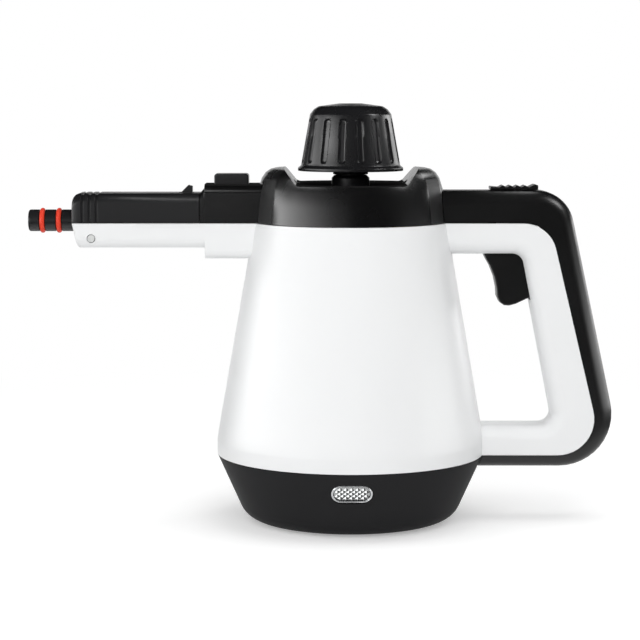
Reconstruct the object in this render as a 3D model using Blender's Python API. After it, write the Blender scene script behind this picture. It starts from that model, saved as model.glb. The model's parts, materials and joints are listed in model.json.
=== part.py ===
"""Handheld steam cleaner: a conical boiler body with a looped handle and a steam nozzle.

Every length is in metres. The body's axis is the drawing origin, the nozzle points to -X, the
handle to +X, and the object stands on Z = 0. One empty then moves everything so that the middle
of the whole object's footprint lies on the world origin.
"""
import math

import bmesh
import bpy
from mathutils import Matrix, Vector

# Shared fits
SEAM_GAP = 0.0003
FIT = 0.0003
WALL = 0.0024
OVERRUN = 0.003
MERGE_DISTANCE = 0.000002
FLAT_ANGLE = math.radians(0.1)
SHARP_ANGLE = math.radians(32)

# Facets of round pieces
BODY_FACETS = 48
ROUND_FACETS = 20
SMALL_FACETS = 12
HOSE_FACETS = 6
WIRE_FACETS = 4
ARC_STEPS = 5
CORNER_STEPS = 3
COIL_STEPS = 8
ROUTE_STEPS = 2

# White body: a cone between the base seam and the collar seam
BASE_SEAM_Z = 0.0365
BODY_SEAM_Z = 0.1605
BODY_ROLL_Z = 0.0435
BODY_WAIST_Z = 0.0515
BODY_WAIST_RADIUS = 0.0704
BODY_FLARE = 0.0011
BODY_FOOT_RADIUS = BODY_WAIST_RADIUS + BODY_FLARE
BODY_SHOULDER_Z = 0.140
BODY_SHOULDER_RADIUS = 0.0548
BODY_TOP_RADIUS = 0.0516

# Black base bowl
BASE_BOTTOM_Z = 0.001
BASE_EDGE_RADIUS = 0.0556
BASE_FILLET = 0.013
FOOT_COUNT = 4
FOOT_RADIUS = 0.007
FOOT_CIRCLE_RADIUS = 0.036
FOOT_SEAT = 0.0012
FOOT_ANGLE = math.radians(45)
POST_COUNT = 4
POST_CIRCLE_RADIUS = 0.041
POST_RADIUS = 0.004
SCREW_RADIUS = 0.0015
SCREW_HEAD_RADIUS = 0.003
SCREW_HEAD = 0.0018
SCREW_SINK = 0.0022
SCREW_BITE = 0.003

# Pilot lamp in the base's front
LAMP_Z = 0.0252
LAMP_LENGTH = 0.0214
LAMP_HEIGHT = 0.0106
LAMP_RIM = 0.0012
LAMP_SINK = 0.0006
LAMP_DEPTH = 0.0026
LENS_SINK = 0.0005
LENS_CROWN = 0.0007
BULB_RADIUS = 0.0022
BULB_LENGTH = 0.011

# Cord inlet in the base's back
GLAND_Z = 0.020
GLAND_RADIUS = 0.0062
GLAND_LIP = 0.0078
GLAND_PROUD = 0.0018
GLAND_BORE = 0.0034

# Black collar round the filler
COLLAR_RADIUS = 0.0515
COLLAR_TOP_Z = 0.1894
CHEEK_INNER = math.radians(17)
CHEEK_OUTER = math.radians(35.4)
COLLAR_ARC_STEPS = 16
LIP_Z = 0.1808
LIP_HALF_WIDTH = 0.0285
EAR_INNER_X = 0.035
LIP_FILLET = 0.004
DISH_RADIUS = 0.0305
DISH_DEPTH = 0.0014
NECK_HOLE_RADIUS = 0.0126

# Shroud and nozzle barrel
BARREL_HALF_WIDTH = 0.014
BARREL_EDGE = 0.005
SHROUD_END_X = -0.0797
SHROUD_TOP_Z = 0.181
SHROUD_CHAMFER = 0.0022
SHROUD_STEP_Z = 0.1763
LOWER_SHROUD_X = -0.0771
LOWER_SHROUD_Z = 0.1416
NOZZLE_REACH = 0.1715
TIP_LENGTH = 0.0223
BARREL_FRONT_X = TIP_LENGTH - NOZZLE_REACH
BARREL_TOP_Z = 0.1762
BARREL_BOTTOM_Z = 0.1474
BARREL_RAKE = 0.003
BARREL_NOSE = 0.0048
NOSE_ROUND = 0.0015
GROOVE_COUNT = 3
GROOVE_SETBACK = 0.0059
GROOVE_PITCH = 0.0037
GROOVE_WIDTH = 0.0014
GROOVE_DEPTH = 0.0008
RAIL_SETBACK = 0.0342
RAIL_Z = 0.1575
RAIL_DEPTH = 0.0006

# Nozzle tip, its seals and the steam line
NOZZLE_Z = 0.1613
TIP_RADIUS = 0.0058
TIP_ROUND = 0.0014
TIP_BORE = 0.0025
TIP_FLANGE_RADIUS = 0.0085
TIP_FLANGE = 0.0025
TIP_TAIL = 0.0282
FRONT_RING_SETBACK = 0.0074
REAR_RING_SETBACK = 0.0162
RING_RADIUS = 0.0067
RING_THICK = 0.0027
JET_RADIUS = 0.0022
JET_BORE = 0.0007
JET_LENGTH = 0.007
PIN_SETBACK = 0.0121
PIN_Z = 0.1524
PIN_RADIUS = 0.002
PIPE_RADIUS = 0.0022
PIPE_BORE = 0.0015
PIPE_SETBACK = 0.0242
PIPE_END_X = -0.052
HOSE_RADIUS = 0.004
HOSE_LAP = 0.006
HOSE_SWING = 0.0245

# Handle: three outlines, each a top line, a raked grip line and a bottom line with two fillets
HANDLE_START_X = 0.040
HANDLE_HALF_WIDTH = 0.014
HANDLE_INNER_ROUND = 0.008
HANDLE_OUTER_ROUND = 0.008
HOLE_TOP_Z = 0.1439
HOLE_BOTTOM_Z = 0.0522
HOLE_TOP_X = 0.0906
HOLE_BOTTOM_X = 0.1089
HOLE_FILLET = 0.006
STRIP_TOP_X = 0.1052
STRIP_BOTTOM_X = 0.1352
STRIP_TOP_FILLET = 0.018
STRIP_BOTTOM_FILLET = 0.0195
SPINE_TOP_Z = 0.1775
SPINE_BOTTOM_Z = 0.0298
SPINE_TOP_X = 0.1147
SPINE_BOTTOM_X = 0.1467
SPINE_TOP_FILLET = 0.020
SPINE_BOTTOM_FILLET = 0.028

# Trigger, its pin and its spring
TRIGGER_PIVOT_X = 0.0755
TRIGGER_PIVOT_Z = 0.1500
TRIGGER_HALF_WIDTH = 0.007
TRIGGER_HUB = 0.0045
TRIGGER_EDGE = 0.0012
TRIGGER_ARM = 0.0085
TRIGGER_ARM_RADIUS = 0.0022
TRIGGER_ARM_HALF_WIDTH = 0.003
TRIGGER_REACH = 0.0339
TRIGGER_DEPTH = 0.0245
TRIGGER_SLOT_X = 0.0692
TRIGGER_SLOT_Z = 0.1192
TRIGGER_SLOT_DEPTH = 0.030
TRIGGER_PIN_RADIUS = 0.0018
TRIGGER_SPRING_WIRE = 0.0003
TRIGGER_SPRING_TURNS = 2
TRIGGER_SPRING_LEG = 0.0055
PIN_BOSS_RADIUS = 0.004

# Lock slider on the handle's top
SLIDER_START_X = 0.0741
SLIDER_END_X = 0.0994
SLIDER_HALF_WIDTH = 0.0065
SLIDER_TOP_Z = 0.1795
SLIDER_PEAK = 0.0007
SLIDER_VALLEY = 0.0004
SLIDER_TOE = 0.0011
SLIDER_TOE_LENGTH = 0.0018
SLIDER_TOOTH_COUNT = 4
SLIDER_TOOTH_PITCH = 0.0039
SLIDER_FIRST_TOOTH = 0.0067
SLIDER_TRAVEL = 0.006
STEM_HALF_WIDTH = 0.0022
STEM_LENGTH = 0.006
STEM_SETBACK = 0.006
LOCK_BAR_LENGTH = 0.018
LOCK_BAR_HEIGHT = 0.004
LOCK_FINGER = 0.003

# Push rod and steam valve
ROD_RADIUS = 0.0019
VALVE_START_X = 0.022
VALVE_END_X = 0.040
VALVE_HALF_WIDTH = 0.009
VALVE_RISE = 0.0073
VALVE_DROP = 0.0112
VALVE_EDGE = 0.001
VALVE_FLOOR = 0.002
VALVE_SPRING_LENGTH = 0.0045
VALVE_SPRING_WIRE = 0.0004
VALVE_SPRING_TURNS = 3
ROD_DEPTH = 0.009
NIPPLE_LENGTH = 0.006
NIPPLE_X = 0.028

# Latch lever in the shroud
LATCH_PIVOT_X = -0.0505
LATCH_PIVOT_Z = 0.171
LATCH_HUB = 0.0032
LATCH_PIN_RADIUS = 0.0015
LATCH_HALF_WIDTH = 0.005
LATCH_THICKNESS = 0.003
LATCH_SWING = math.radians(5)
BUTTON_START_X = -0.0723
BUTTON_END_X = -0.0541
BUTTON_TOP_Z = 0.1863
BUTTON_HALF_WIDTH = 0.007
BUTTON_ROUND = 0.0015
BUTTON_EDGE = 0.0008
WEDGE_START_X = -0.0909
WEDGE_PEAK_X = -0.0863
WEDGE_END_X = -0.0841
WEDGE_PEAK_Z = 0.1802
WEDGE_HALF_WIDTH = 0.0025
SLOT_CLEARANCE = 0.0006

# Boiler with its heater
BOILER_BOTTOM_Z = 0.046
BOILER_JOINT_Z = 0.096
BOILER_TOP_Z = TRIGGER_PIVOT_Z + TRIGGER_ARM - VALVE_DROP - FIT
BOILER_RADIUS = 0.047
BOILER_WALL = 0.0025
BOILER_FLOOR = 0.005
BOILER_CORNER = 0.0035
BOILER_FLANGE_RADIUS = 0.053
BOILER_FLANGE = 0.003
BOILER_GASKET = 0.0012
HEATER_CIRCLE_RADIUS = 0.031
HEATER_RADIUS = 0.0036
HEATER_GAP_ANGLE = math.radians(50)
HEATER_LEG = 0.012
HEATER_STEPS = 16
THERMOSTAT_RADIUS = 0.008
THERMOSTAT_HEIGHT = 0.006
FUSE_RADIUS = 0.0022
FUSE_LENGTH = 0.013
FUSE_Y = 0.017

# Filler neck and safety cap
NECK_BORE = 0.0075
NECK_RADIUS = 0.0101
NECK_FLANGE_RADIUS = 0.015
NECK_FLANGE = 0.0022
NECK_SEAT = 0.0032
NECK_TOP_Z = 0.1856
NECK_BEVEL = 0.0016
CAP_GASKET = 0.0015
CAP_GASKET_WIDTH = 0.0018
PLUG_DEPTH = 0.011
PLUG_FLANGE_RADIUS = 0.012
PLUG_FLANGE = 0.0025
PLUG_BOSS_RADIUS = 0.006
PLUG_BOSS = 0.004
RELIEF_RADIUS = 0.002
RELIEF_HEAD_RADIUS = 0.0036
RELIEF_HEAD = 0.0022
RELIEF_DEPTH = 0.016
CAP_SPRING_WIRE = 0.0006
CAP_SPRING_TURNS = 5
CAP_SPRING_LENGTH = 0.0125
RETAINER_THICKNESS = 0.002
CAP_BOTTOM_Z = 0.1878
CAP_FLANGE_TOP_Z = 0.1894
CAP_SKIRT_Z = 0.1907
CAP_SHOULDER_Z = 0.2177
CAP_CHAMFER_Z = 0.2203
CAP_EDGE_Z = 0.2219
CAP_TOP_Z = 0.2234
CAP_FLANGE_RADIUS = 0.028
CAP_SKIRT_RADIUS = 0.0264
CAP_SHOULDER_RADIUS = 0.0216
CAP_CHAMFER_RADIUS = 0.0196
CAP_EDGE_RADIUS = 0.017
CAP_CROWN_RADIUS = 0.006
CAP_WALL = 0.0027
FLUTE_COUNT = 16
FLUTE_DEPTH = 0.0013
FLUTE_FOOT = 0.0012
FLUTE_HEAD = 0.0022
FLUTE_END = 0.0015

# Shell screws, driven from the hidden side
SHELL_BOSS_RADIUS = 0.0036
SHELL_SCREW_RADIUS = 0.0013
SHELL_SCREW_HEAD = 0.0027
SHELL_SCREW_HEAD_LENGTH = 0.002
SHELL_SCREW_SINK_Y = 0.007
SHELL_SCREW_TIP_Y = -0.009
TOP_SCREW_X = 0.062
TOP_SCREW_RISE = 0.0071
GRIP_SCREW_X = 0.1115
GRIP_SCREW_Z = 0.090
LOW_SCREW_X = 0.092
LOW_SCREW_DROP = 0.0078
BARREL_SCREW_SETBACK = 0.0372
BARREL_SCREW_RISE = 0.0064

# Angular places on one flute, as shares of the flute's pitch, and how deep each one is cut
FLUTE_PLACE_SHARES = (-0.24, -0.14, 0.14, 0.24)
FLUTE_DEPTH_SHARES = (0.0, 1.0, 1.0, 0.0)

# The collar's outline over its seam, as shares of its height and of its radius at the seam
COLLAR_LEVEL_SHARES = (
    (0.329, 0.977), (0.606, 0.955), (0.813, 0.918), (0.917, 0.878), (0.979, 0.827), (1.0, 0.777))

# The trigger's outline from its pivot, as shares of its depth and reach
TRIGGER_OUTLINE_SHARES = (
    (-0.20, -0.177), (-0.131, -0.280), (-0.053, -0.375), (0.041, -0.546), (0.094, -0.723), (0.106, -0.855),
    (0.159, -0.944), (0.257, -0.994), (0.367, -1.0), (0.510, -0.973), (0.776, -0.882), (0.898, -0.841),
    (0.918, -0.767), (0.796, -0.354), (0.612, -0.118), (0.367, 0.015), (0.0, 0.10), (-0.15, 0.05))

# The steam hose from the pipe's end to the valve's nipple: shares of the way, the swing and the drop
HOSE_ROUTE_SHARES = (
    (0.0, 0.0, 0.0), (0.12, 0.05, 0.0), (0.27, 0.36, 0.0), (0.47, 0.84, 0.0), (0.72, 1.0, 0.1),
    (0.92, 0.98, 0.7), (1.0, 0.79, 1.0))

# Base colour, roughness and metallic value of each material
MATERIALS = {
    "white_plastic": ((0.86, 0.87, 0.87), 0.30, 0.0),
    "black_gloss": ((0.020, 0.020, 0.022), 0.22, 0.0),
    "black_satin": ((0.026, 0.026, 0.028), 0.45, 0.0),
    "black_matte": ((0.012, 0.012, 0.013), 0.55, 0.0),
    "grey_plastic": ((0.60, 0.61, 0.61), 0.45, 0.0),
    "red_rubber": ((0.80, 0.055, 0.025), 0.50, 0.0),
    "black_rubber": ((0.018, 0.018, 0.018), 0.80, 0.0),
    "silicone": ((0.75, 0.73, 0.68), 0.55, 0.0),
    "clear_lens": ((0.92, 0.94, 0.95), 0.08, 0.0),
    "chrome_trim": ((0.80, 0.81, 0.82), 0.15, 1.0),
    "lamp_bulb": ((0.90, 0.45, 0.20), 0.25, 0.0),
    "cast_aluminium": ((0.66, 0.67, 0.68), 0.45, 1.0),
    "steel": ((0.56, 0.56, 0.55), 0.35, 1.0),
    "brass": ((0.72, 0.55, 0.24), 0.30, 1.0),
}


def clear_scene():
    for item in list(bpy.data.objects):
        bpy.data.objects.remove(item, do_unlink=True)


def object_from(name, bm):
    """Make an object from a bmesh whose faces then point outwards."""
    bmesh.ops.connect_verts_nonplanar(bm, angle_limit=FLAT_ANGLE, faces=bm.faces)
    bmesh.ops.recalc_face_normals(bm, faces=bm.faces)
    mesh = bpy.data.meshes.new(name)
    bm.to_mesh(mesh)
    bm.free()
    item = bpy.data.objects.new(name, mesh)
    bpy.context.scene.collection.objects.link(item)
    return item


def loft(name, rings):
    """Skin equal rings of points in order and close both ends."""
    bm = bmesh.new()
    rows = [[bm.verts.new(point) for point in ring] for ring in rings]
    count = len(rows[0])
    for low, high in zip(rows, rows[1:]):
        for index in range(count):
            after = (index + 1) % count
            bm.faces.new((low[index], low[after], high[after], high[index]))
    bm.faces.new(rows[0])
    bm.faces.new(rows[-1])
    return object_from(name, bm)


def lathe(name, profile, facets=ROUND_FACETS):
    """Turn (radius, z) points round Z. A profile may start and end on the axis or be a closed loop."""
    bm = bmesh.new()
    rows = []
    for radius, height in profile:
        if radius == 0:
            rows.append([bm.verts.new((0, 0, height))])
            continue
        turn = 2 * math.pi / facets
        rows.append([bm.verts.new((radius * math.cos(k * turn), radius * math.sin(k * turn), height))
                     for k in range(facets)])
    pairs = list(zip(rows, rows[1:]))
    if profile[0][0] != 0:
        pairs.append((rows[-1], rows[0]))
    for low, high in pairs:
        for k in range(facets):
            after = (k + 1) % facets
            corners = [low[k % len(low)], low[after % len(low)], high[after % len(high)],
                       high[k % len(high)]]
            bm.faces.new(list(dict.fromkeys(corners)))
    return object_from(name, bm)


def prism(name, outline, start_y, end_y):
    """Extrude an (x, z) outline along Y."""
    return loft(name, [[(x, y, z) for x, z in outline] for y in (start_y, end_y)])


def box(name, low, high):
    outline = ((low[0], low[2]), (high[0], low[2]), (high[0], high[2]), (low[0], high[2]))
    return prism(name, outline, low[1], high[1])


def rod(name, start, end, radius, facets=SMALL_FACETS):
    """A plain cylinder between two points."""
    start = Vector(start)
    along = Vector(end) - start
    item = lathe(name, ((0, 0), (radius, 0), (radius, along.length), (0, along.length)), facets)
    item.data.transform(Matrix.Translation(start) @ along.to_track_quat("Z", "Y").to_matrix().to_4x4())
    return item


def lay_along_x(item, start_x, height):
    """Turn an object drawn along +Z so that it runs along +X from start_x."""
    item.data.transform(Matrix.Translation((start_x, 0, height)) @ Matrix.Rotation(math.pi / 2, 4, "Y"))
    return item


def sweep(name, points, radii, facets):
    """Carry concentric circles along a path. Two radii make a pipe, one a solid bar.

    Every corner is mitred, so that each face is flat.
    """
    bm = bmesh.new()
    points = [Vector(point) for point in points]
    turn = 2 * math.pi / facets
    ahead = (points[1] - points[0]).normalized()
    side = ahead.orthogonal().normalized()
    across = ahead.cross(side)
    rings = [[points[0] + (side * math.cos(k * turn) + across * math.sin(k * turn)) * radius
              for k in range(facets)]
             for radius in radii]
    skins = [[[bm.verts.new(place) for place in ring]] for ring in rings]
    for index, point in enumerate(points[1:], 1):
        along = (point - points[index - 1]).normalized()
        beyond = (points[index + 1] - point).normalized() if index + 1 < len(points) else along
        mitre = (along + beyond).normalized()
        for skin, ring in zip(skins, rings):
            ring[:] = [place + along * ((point - place).dot(mitre) / along.dot(mitre)) for place in ring]
            skin.append([bm.verts.new(place) for place in ring])
    for skin in skins:
        for low, high in zip(skin, skin[1:]):
            for k in range(facets):
                after = (k + 1) % facets
                bm.faces.new((low[k], low[after], high[after], high[k]))
    for end in (0, -1):
        if len(skins) == 1:
            bm.faces.new(skins[0][end])
            continue
        outer, inner = skins[0][end], skins[1][end]
        for k in range(facets):
            after = (k + 1) % facets
            bm.faces.new((outer[k], outer[after], inner[after], inner[k]))
    return object_from(name, bm)


def coil(name, centre, axis, length, turns, radius, wire, legs=()):
    """A helical spring that starts at centre and winds along axis, with optional straight ends.

    No chord of the helix comes closer to the axis than the radius.
    """
    steps = turns * COIL_STEPS
    reach = radius / math.cos(math.pi / COIL_STEPS)
    place = Matrix.Translation(centre) @ Vector(axis).to_track_quat("Z", "Y").to_matrix().to_4x4()
    points = []
    for step in range(steps + 1):
        angle = 2 * math.pi * turns * step / steps
        points.append(place @ Vector((reach * math.cos(angle), reach * math.sin(angle),
                                      length * step / steps)))
    if legs:
        first, last = (Vector(leg) for leg in legs)
        points = [points[0] + first] + points + [points[-1] + last]
    return sweep(name, points, [wire], WIRE_FACETS)


def bake(item):
    """Replace an object's mesh by what its modifiers make of it, without slivers."""
    depsgraph = bpy.context.evaluated_depsgraph_get()
    shaped = bpy.data.meshes.new_from_object(item.evaluated_get(depsgraph), depsgraph=depsgraph)
    bm = bmesh.new()
    bm.from_mesh(shaped)
    bmesh.ops.remove_doubles(bm, verts=bm.verts, dist=MERGE_DISTANCE)
    bm.to_mesh(shaped)
    bm.free()
    plain = item.data
    item.modifiers.clear()
    item.data = shaped
    bpy.data.meshes.remove(plain)


def combine(target, tools, operation):
    """Join, cut or intersect the target with all the tools at once, and remove the tools."""
    group = bpy.data.collections.new("tools")
    bpy.context.scene.collection.children.link(group)
    for tool in tools:
        group.objects.link(tool)
    modifier = target.modifiers.new("combine", "BOOLEAN")
    modifier.operation = operation
    modifier.solver = "EXACT"
    modifier.operand_type = "COLLECTION"
    modifier.collection = group
    bake(target)
    for tool in tools:
        bpy.data.objects.remove(tool, do_unlink=True)
    bpy.data.collections.remove(group)
    return target


def join(target, *tools):
    return combine(target, tools, "UNION")


def cut(target, *tools):
    return combine(target, tools, "DIFFERENCE")


def bevel(item, width, segments=2):
    modifier = item.modifiers.new("soft edges", "BEVEL")
    modifier.width = width
    modifier.segments = segments
    modifier.limit_method = "ANGLE"
    modifier.angle_limit = SHARP_ANGLE
    bake(item)
    return item


def copy_of(item, name):
    twin = bpy.data.objects.new(name, item.data.copy())
    bpy.context.scene.collection.objects.link(twin)
    return twin


def rounded_path(corners, fillets, offset=0.0):
    """Points along a polyline with an arc in each inner corner.

    The line turns right at every corner. A positive offset moves it to its left, the outer side.
    """
    corners = [Vector(corner) for corner in corners]
    lines = []
    for start, end in zip(corners, corners[1:]):
        along = (end - start).normalized()
        outward = Vector((-along.y, along.x))
        lines.append((start + outward * offset, along, outward))
    points = [lines[0][0]]
    for line, next_line, fillet in zip(lines, lines[1:], fillets):
        point, along, outward = line
        next_point, next_along, next_outward = next_line
        radius = fillet + offset
        reach = (next_point - point).dot(next_outward) / along.dot(next_outward)
        corner = point + along * reach
        turn = along.angle(next_along)
        start = corner - along * radius * math.tan(turn / 2)
        centre = start - outward * radius
        for step in range(ARC_STEPS + 1):
            angle = -turn * step / ARC_STEPS
            spoke = Vector((outward.x * math.cos(angle) - outward.y * math.sin(angle),
                            outward.x * math.sin(angle) + outward.y * math.cos(angle)))
            points.append(centre + spoke * radius)
    points.append(corners[-1] + lines[-1][2] * offset)
    return points


def rounded_section(low, high, half_width, low_round, high_round):
    """A closed outline of (across, along) points whose low and high corners have their own radii."""
    points = []
    for along, side, radius, first_quarter in ((high, 1, high_round, 0), (high, -1, high_round, 1),
                                               (low, -1, low_round, 2), (low, 1, low_round, 3)):
        if radius == 0:
            points.append((side * half_width, along))
            continue
        inward = radius if along == low else -radius
        for step in range(CORNER_STEPS + 1):
            angle = math.pi / 2 * (first_quarter + step / CORNER_STEPS)
            points.append((side * (half_width - radius) + radius * math.cos(angle),
                           along + inward + radius * math.sin(angle)))
    return points


def stadium(length, height):
    """A closed slot outline, round at both ends, about the origin."""
    radius = height / 2
    points = []
    for side in (1, -1):
        for step in range(2 * CORNER_STEPS + 1):
            angle = math.pi / 2 * (step / CORNER_STEPS - side)
            points.append((side * (length / 2 - radius) + radius * math.cos(angle),
                           radius * math.sin(angle)))
    return points


def slab(name, outline, low, high):
    """Extrude an (x, y) outline along Z."""
    return loft(name, [[(x, y, z) for x, y in outline] for z in (low, high)])


def curve_between(start, control, end, steps):
    """Points of a quadratic curve, without its first point."""
    points = []
    for step in range(1, steps + 1):
        share = step / steps
        points.append(tuple((1 - share) ** 2 * a + 2 * share * (1 - share) * b + share ** 2 * c
                            for a, b, c in zip(start, control, end)))
    return points


def smooth_route(knots, steps):
    """A smooth curve that passes through every knot."""
    knots = [Vector(knot) for knot in knots]
    padded = [knots[0] * 2 - knots[1]] + knots + [knots[-1] * 2 - knots[-2]]
    points = [knots[0]]
    for before, start, end, after in zip(padded, padded[1:], padded[2:], padded[3:]):
        for step in range(1, steps + 1):
            share = step / steps
            linear = (end - before) * share
            square = (before * 2 - start * 5 + end * 4 - after) * share ** 2
            cubic = (start * 3 - before - end * 3 + after) * share ** 3
            points.append(start + (linear + square + cubic) / 2)
    return points


def body_profile(inset, low_z, high_z):
    """The cone's outline from foot to top, moved inwards and cut off at two heights."""
    foot = (BODY_FOOT_RADIUS, BODY_ROLL_Z)
    waist = (BODY_WAIST_RADIUS, BODY_WAIST_Z)
    slope = (BODY_SHOULDER_RADIUS - BODY_WAIST_RADIUS) / (BODY_SHOULDER_Z - BODY_WAIST_Z)
    knee = (BODY_FOOT_RADIUS, BODY_WAIST_Z + (BODY_FOOT_RADIUS - BODY_WAIST_RADIUS) / slope)
    outline = [(BODY_FOOT_RADIUS, low_z), foot]
    outline += curve_between(foot, knee, waist, CORNER_STEPS)
    outline += [(BODY_SHOULDER_RADIUS, BODY_SHOULDER_Z), (BODY_TOP_RADIUS, high_z)]
    return [(0, low_z)] + [(radius - inset, z) for radius, z in outline] + [(0, high_z)]


def body_cone(inset, overrun):
    return lathe("cone", body_profile(inset, BASE_SEAM_Z - overrun, BODY_SEAM_Z + overrun), BODY_FACETS)


def base_profile(offset, top_z):
    """The base bowl's outline from the axis out and up, moved outwards by offset."""
    rim_slope = (BODY_FOOT_RADIUS - BASE_EDGE_RADIUS) / (BASE_SEAM_Z - BASE_BOTTOM_Z)
    corners = ((BODY_FOOT_RADIUS + rim_slope * (top_z - BASE_SEAM_Z), top_z),
               (BASE_EDGE_RADIUS, BASE_BOTTOM_Z),
               (0, BASE_BOTTOM_Z))
    path = rounded_path(corners, (BASE_FILLET,), offset)
    return [(max(radius, 0), z) for radius, z in reversed(path)] + [(0, path[0].y)]


def base_bowl(offset, top_z):
    return lathe("bowl", base_profile(offset, top_z), BODY_FACETS)


def base_wall_frame(height, side):
    """A frame on the base's sloping wall: X level, Y up the wall, Z outwards. side is -1 in front."""
    rise = BASE_SEAM_Z - BASE_BOTTOM_Z
    spread = BODY_FOOT_RADIUS - BASE_EDGE_RADIUS
    lean = math.atan2(spread, rise)
    radius = BASE_EDGE_RADIUS + spread * (height - BASE_BOTTOM_Z) / rise
    level = Vector((-side, 0, 0))
    up = Vector((0, side * math.sin(lean), math.cos(lean)))
    frame = Matrix((level, up, level.cross(up))).transposed().to_4x4()
    return Matrix.Translation((0, side * radius, height)) @ frame


def handle_path(top_x, top_z, bottom_x, bottom_z, fillets, offset, start_x):
    corners = ((start_x, top_z), (top_x, top_z), (bottom_x, bottom_z), (start_x, bottom_z))
    return rounded_path(corners, fillets, offset)


def hole_path(offset, start_x=HANDLE_START_X):
    return handle_path(HOLE_TOP_X, HOLE_TOP_Z, HOLE_BOTTOM_X, HOLE_BOTTOM_Z, (HOLE_FILLET, HOLE_FILLET),
                       offset, start_x)


def strip_path(offset, start_x):
    return handle_path(STRIP_TOP_X, BODY_SEAM_Z, STRIP_BOTTOM_X, BASE_SEAM_Z,
                       (STRIP_TOP_FILLET, STRIP_BOTTOM_FILLET), offset, start_x)


def spine_path(offset, start_x=HANDLE_START_X):
    return handle_path(SPINE_TOP_X, SPINE_TOP_Z, SPINE_BOTTOM_X, SPINE_BOTTOM_Z,
                       (SPINE_TOP_FILLET, SPINE_BOTTOM_FILLET), offset, start_x)


def handle_solid(inset):
    """The whole handle between its hole and its outer outline, every face moved inwards by inset."""
    rings = []
    for inner, outer in zip(hole_path(inset), spine_path(-inset)):
        along = outer - inner
        section = rounded_section(0, along.length, HANDLE_HALF_WIDTH - inset, HANDLE_INNER_ROUND - inset,
                                  HANDLE_OUTER_ROUND - inset)
        along.normalize()
        rings.append([(inner.x + along.x * reach, across, inner.y + along.y * reach)
                      for across, reach in section])
    return loft("handle", rings)


def white_zone(offset):
    """Everything inside the line where the white plastic meets the black."""
    outline = strip_path(offset, -NOZZLE_REACH)
    return prism("zone", outline, -BODY_FOOT_RADIUS * 2, BODY_FOOT_RADIUS * 2)


def along_x(name, low_z, high_z, half_width, low_round, high_round, start_x, end_x):
    """A bar along X with a rounded section."""
    section = rounded_section(low_z, high_z, half_width, low_round, high_round)
    return loft(name, [[(x, y, z) for y, z in section] for x in (start_x, end_x)])


def lower_barrel_solid():
    slope = BARREL_RAKE / (BODY_SEAM_Z - BARREL_BOTTOM_Z)
    rings = []
    for step in range(CORNER_STEPS + 1):
        angle = math.pi / 2 * step / CORNER_STEPS
        inset = NOSE_ROUND * (1 - math.sin(angle))
        advance = NOSE_ROUND * (1 - math.cos(angle))
        section = rounded_section(BARREL_BOTTOM_Z + inset, BODY_SEAM_Z + OVERRUN,
                                  BARREL_HALF_WIDTH - inset, BARREL_EDGE, 0)
        rings.append([(BARREL_FRONT_X + advance + slope * (BODY_SEAM_Z - z), y, z) for y, z in section])
    rings.append([(-HANDLE_START_X, y, z) for y, z in section])
    return loft("lower barrel", rings)


def barrel_cavity_start():
    return BARREL_FRONT_X + BARREL_RAKE + WALL


def shell_screw_places():
    return ((TOP_SCREW_X, HOLE_TOP_Z + TOP_SCREW_RISE), (GRIP_SCREW_X, GRIP_SCREW_Z),
            (LOW_SCREW_X, HOLE_BOTTOM_Z - LOW_SCREW_DROP),
            (BARREL_FRONT_X + BARREL_SCREW_SETBACK, BARREL_BOTTOM_Z + BARREL_SCREW_RISE))


def nozzle_hole():
    return rod("nozzle hole", (-NOZZLE_REACH, 0, NOZZLE_Z), (barrel_cavity_start() + OVERRUN, 0, NOZZLE_Z),
               TIP_RADIUS + FIT, ROUND_FACETS)


def shell_bosses():
    """Pillars for the shell screws and short bosses for the trigger's pin, all along Y."""
    reach = HANDLE_HALF_WIDTH - WALL / 2
    bosses = [rod("boss", (x, -reach, z), (x, reach, z), SHELL_BOSS_RADIUS)
              for x, z in shell_screw_places()]
    for side in (-1, 1):
        bosses.append(rod("pin boss", (TRIGGER_PIVOT_X, side * pin_boss_start(), TRIGGER_PIVOT_Z),
                          (TRIGGER_PIVOT_X, side * reach, TRIGGER_PIVOT_Z), PIN_BOSS_RADIUS))
    return bosses


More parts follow.
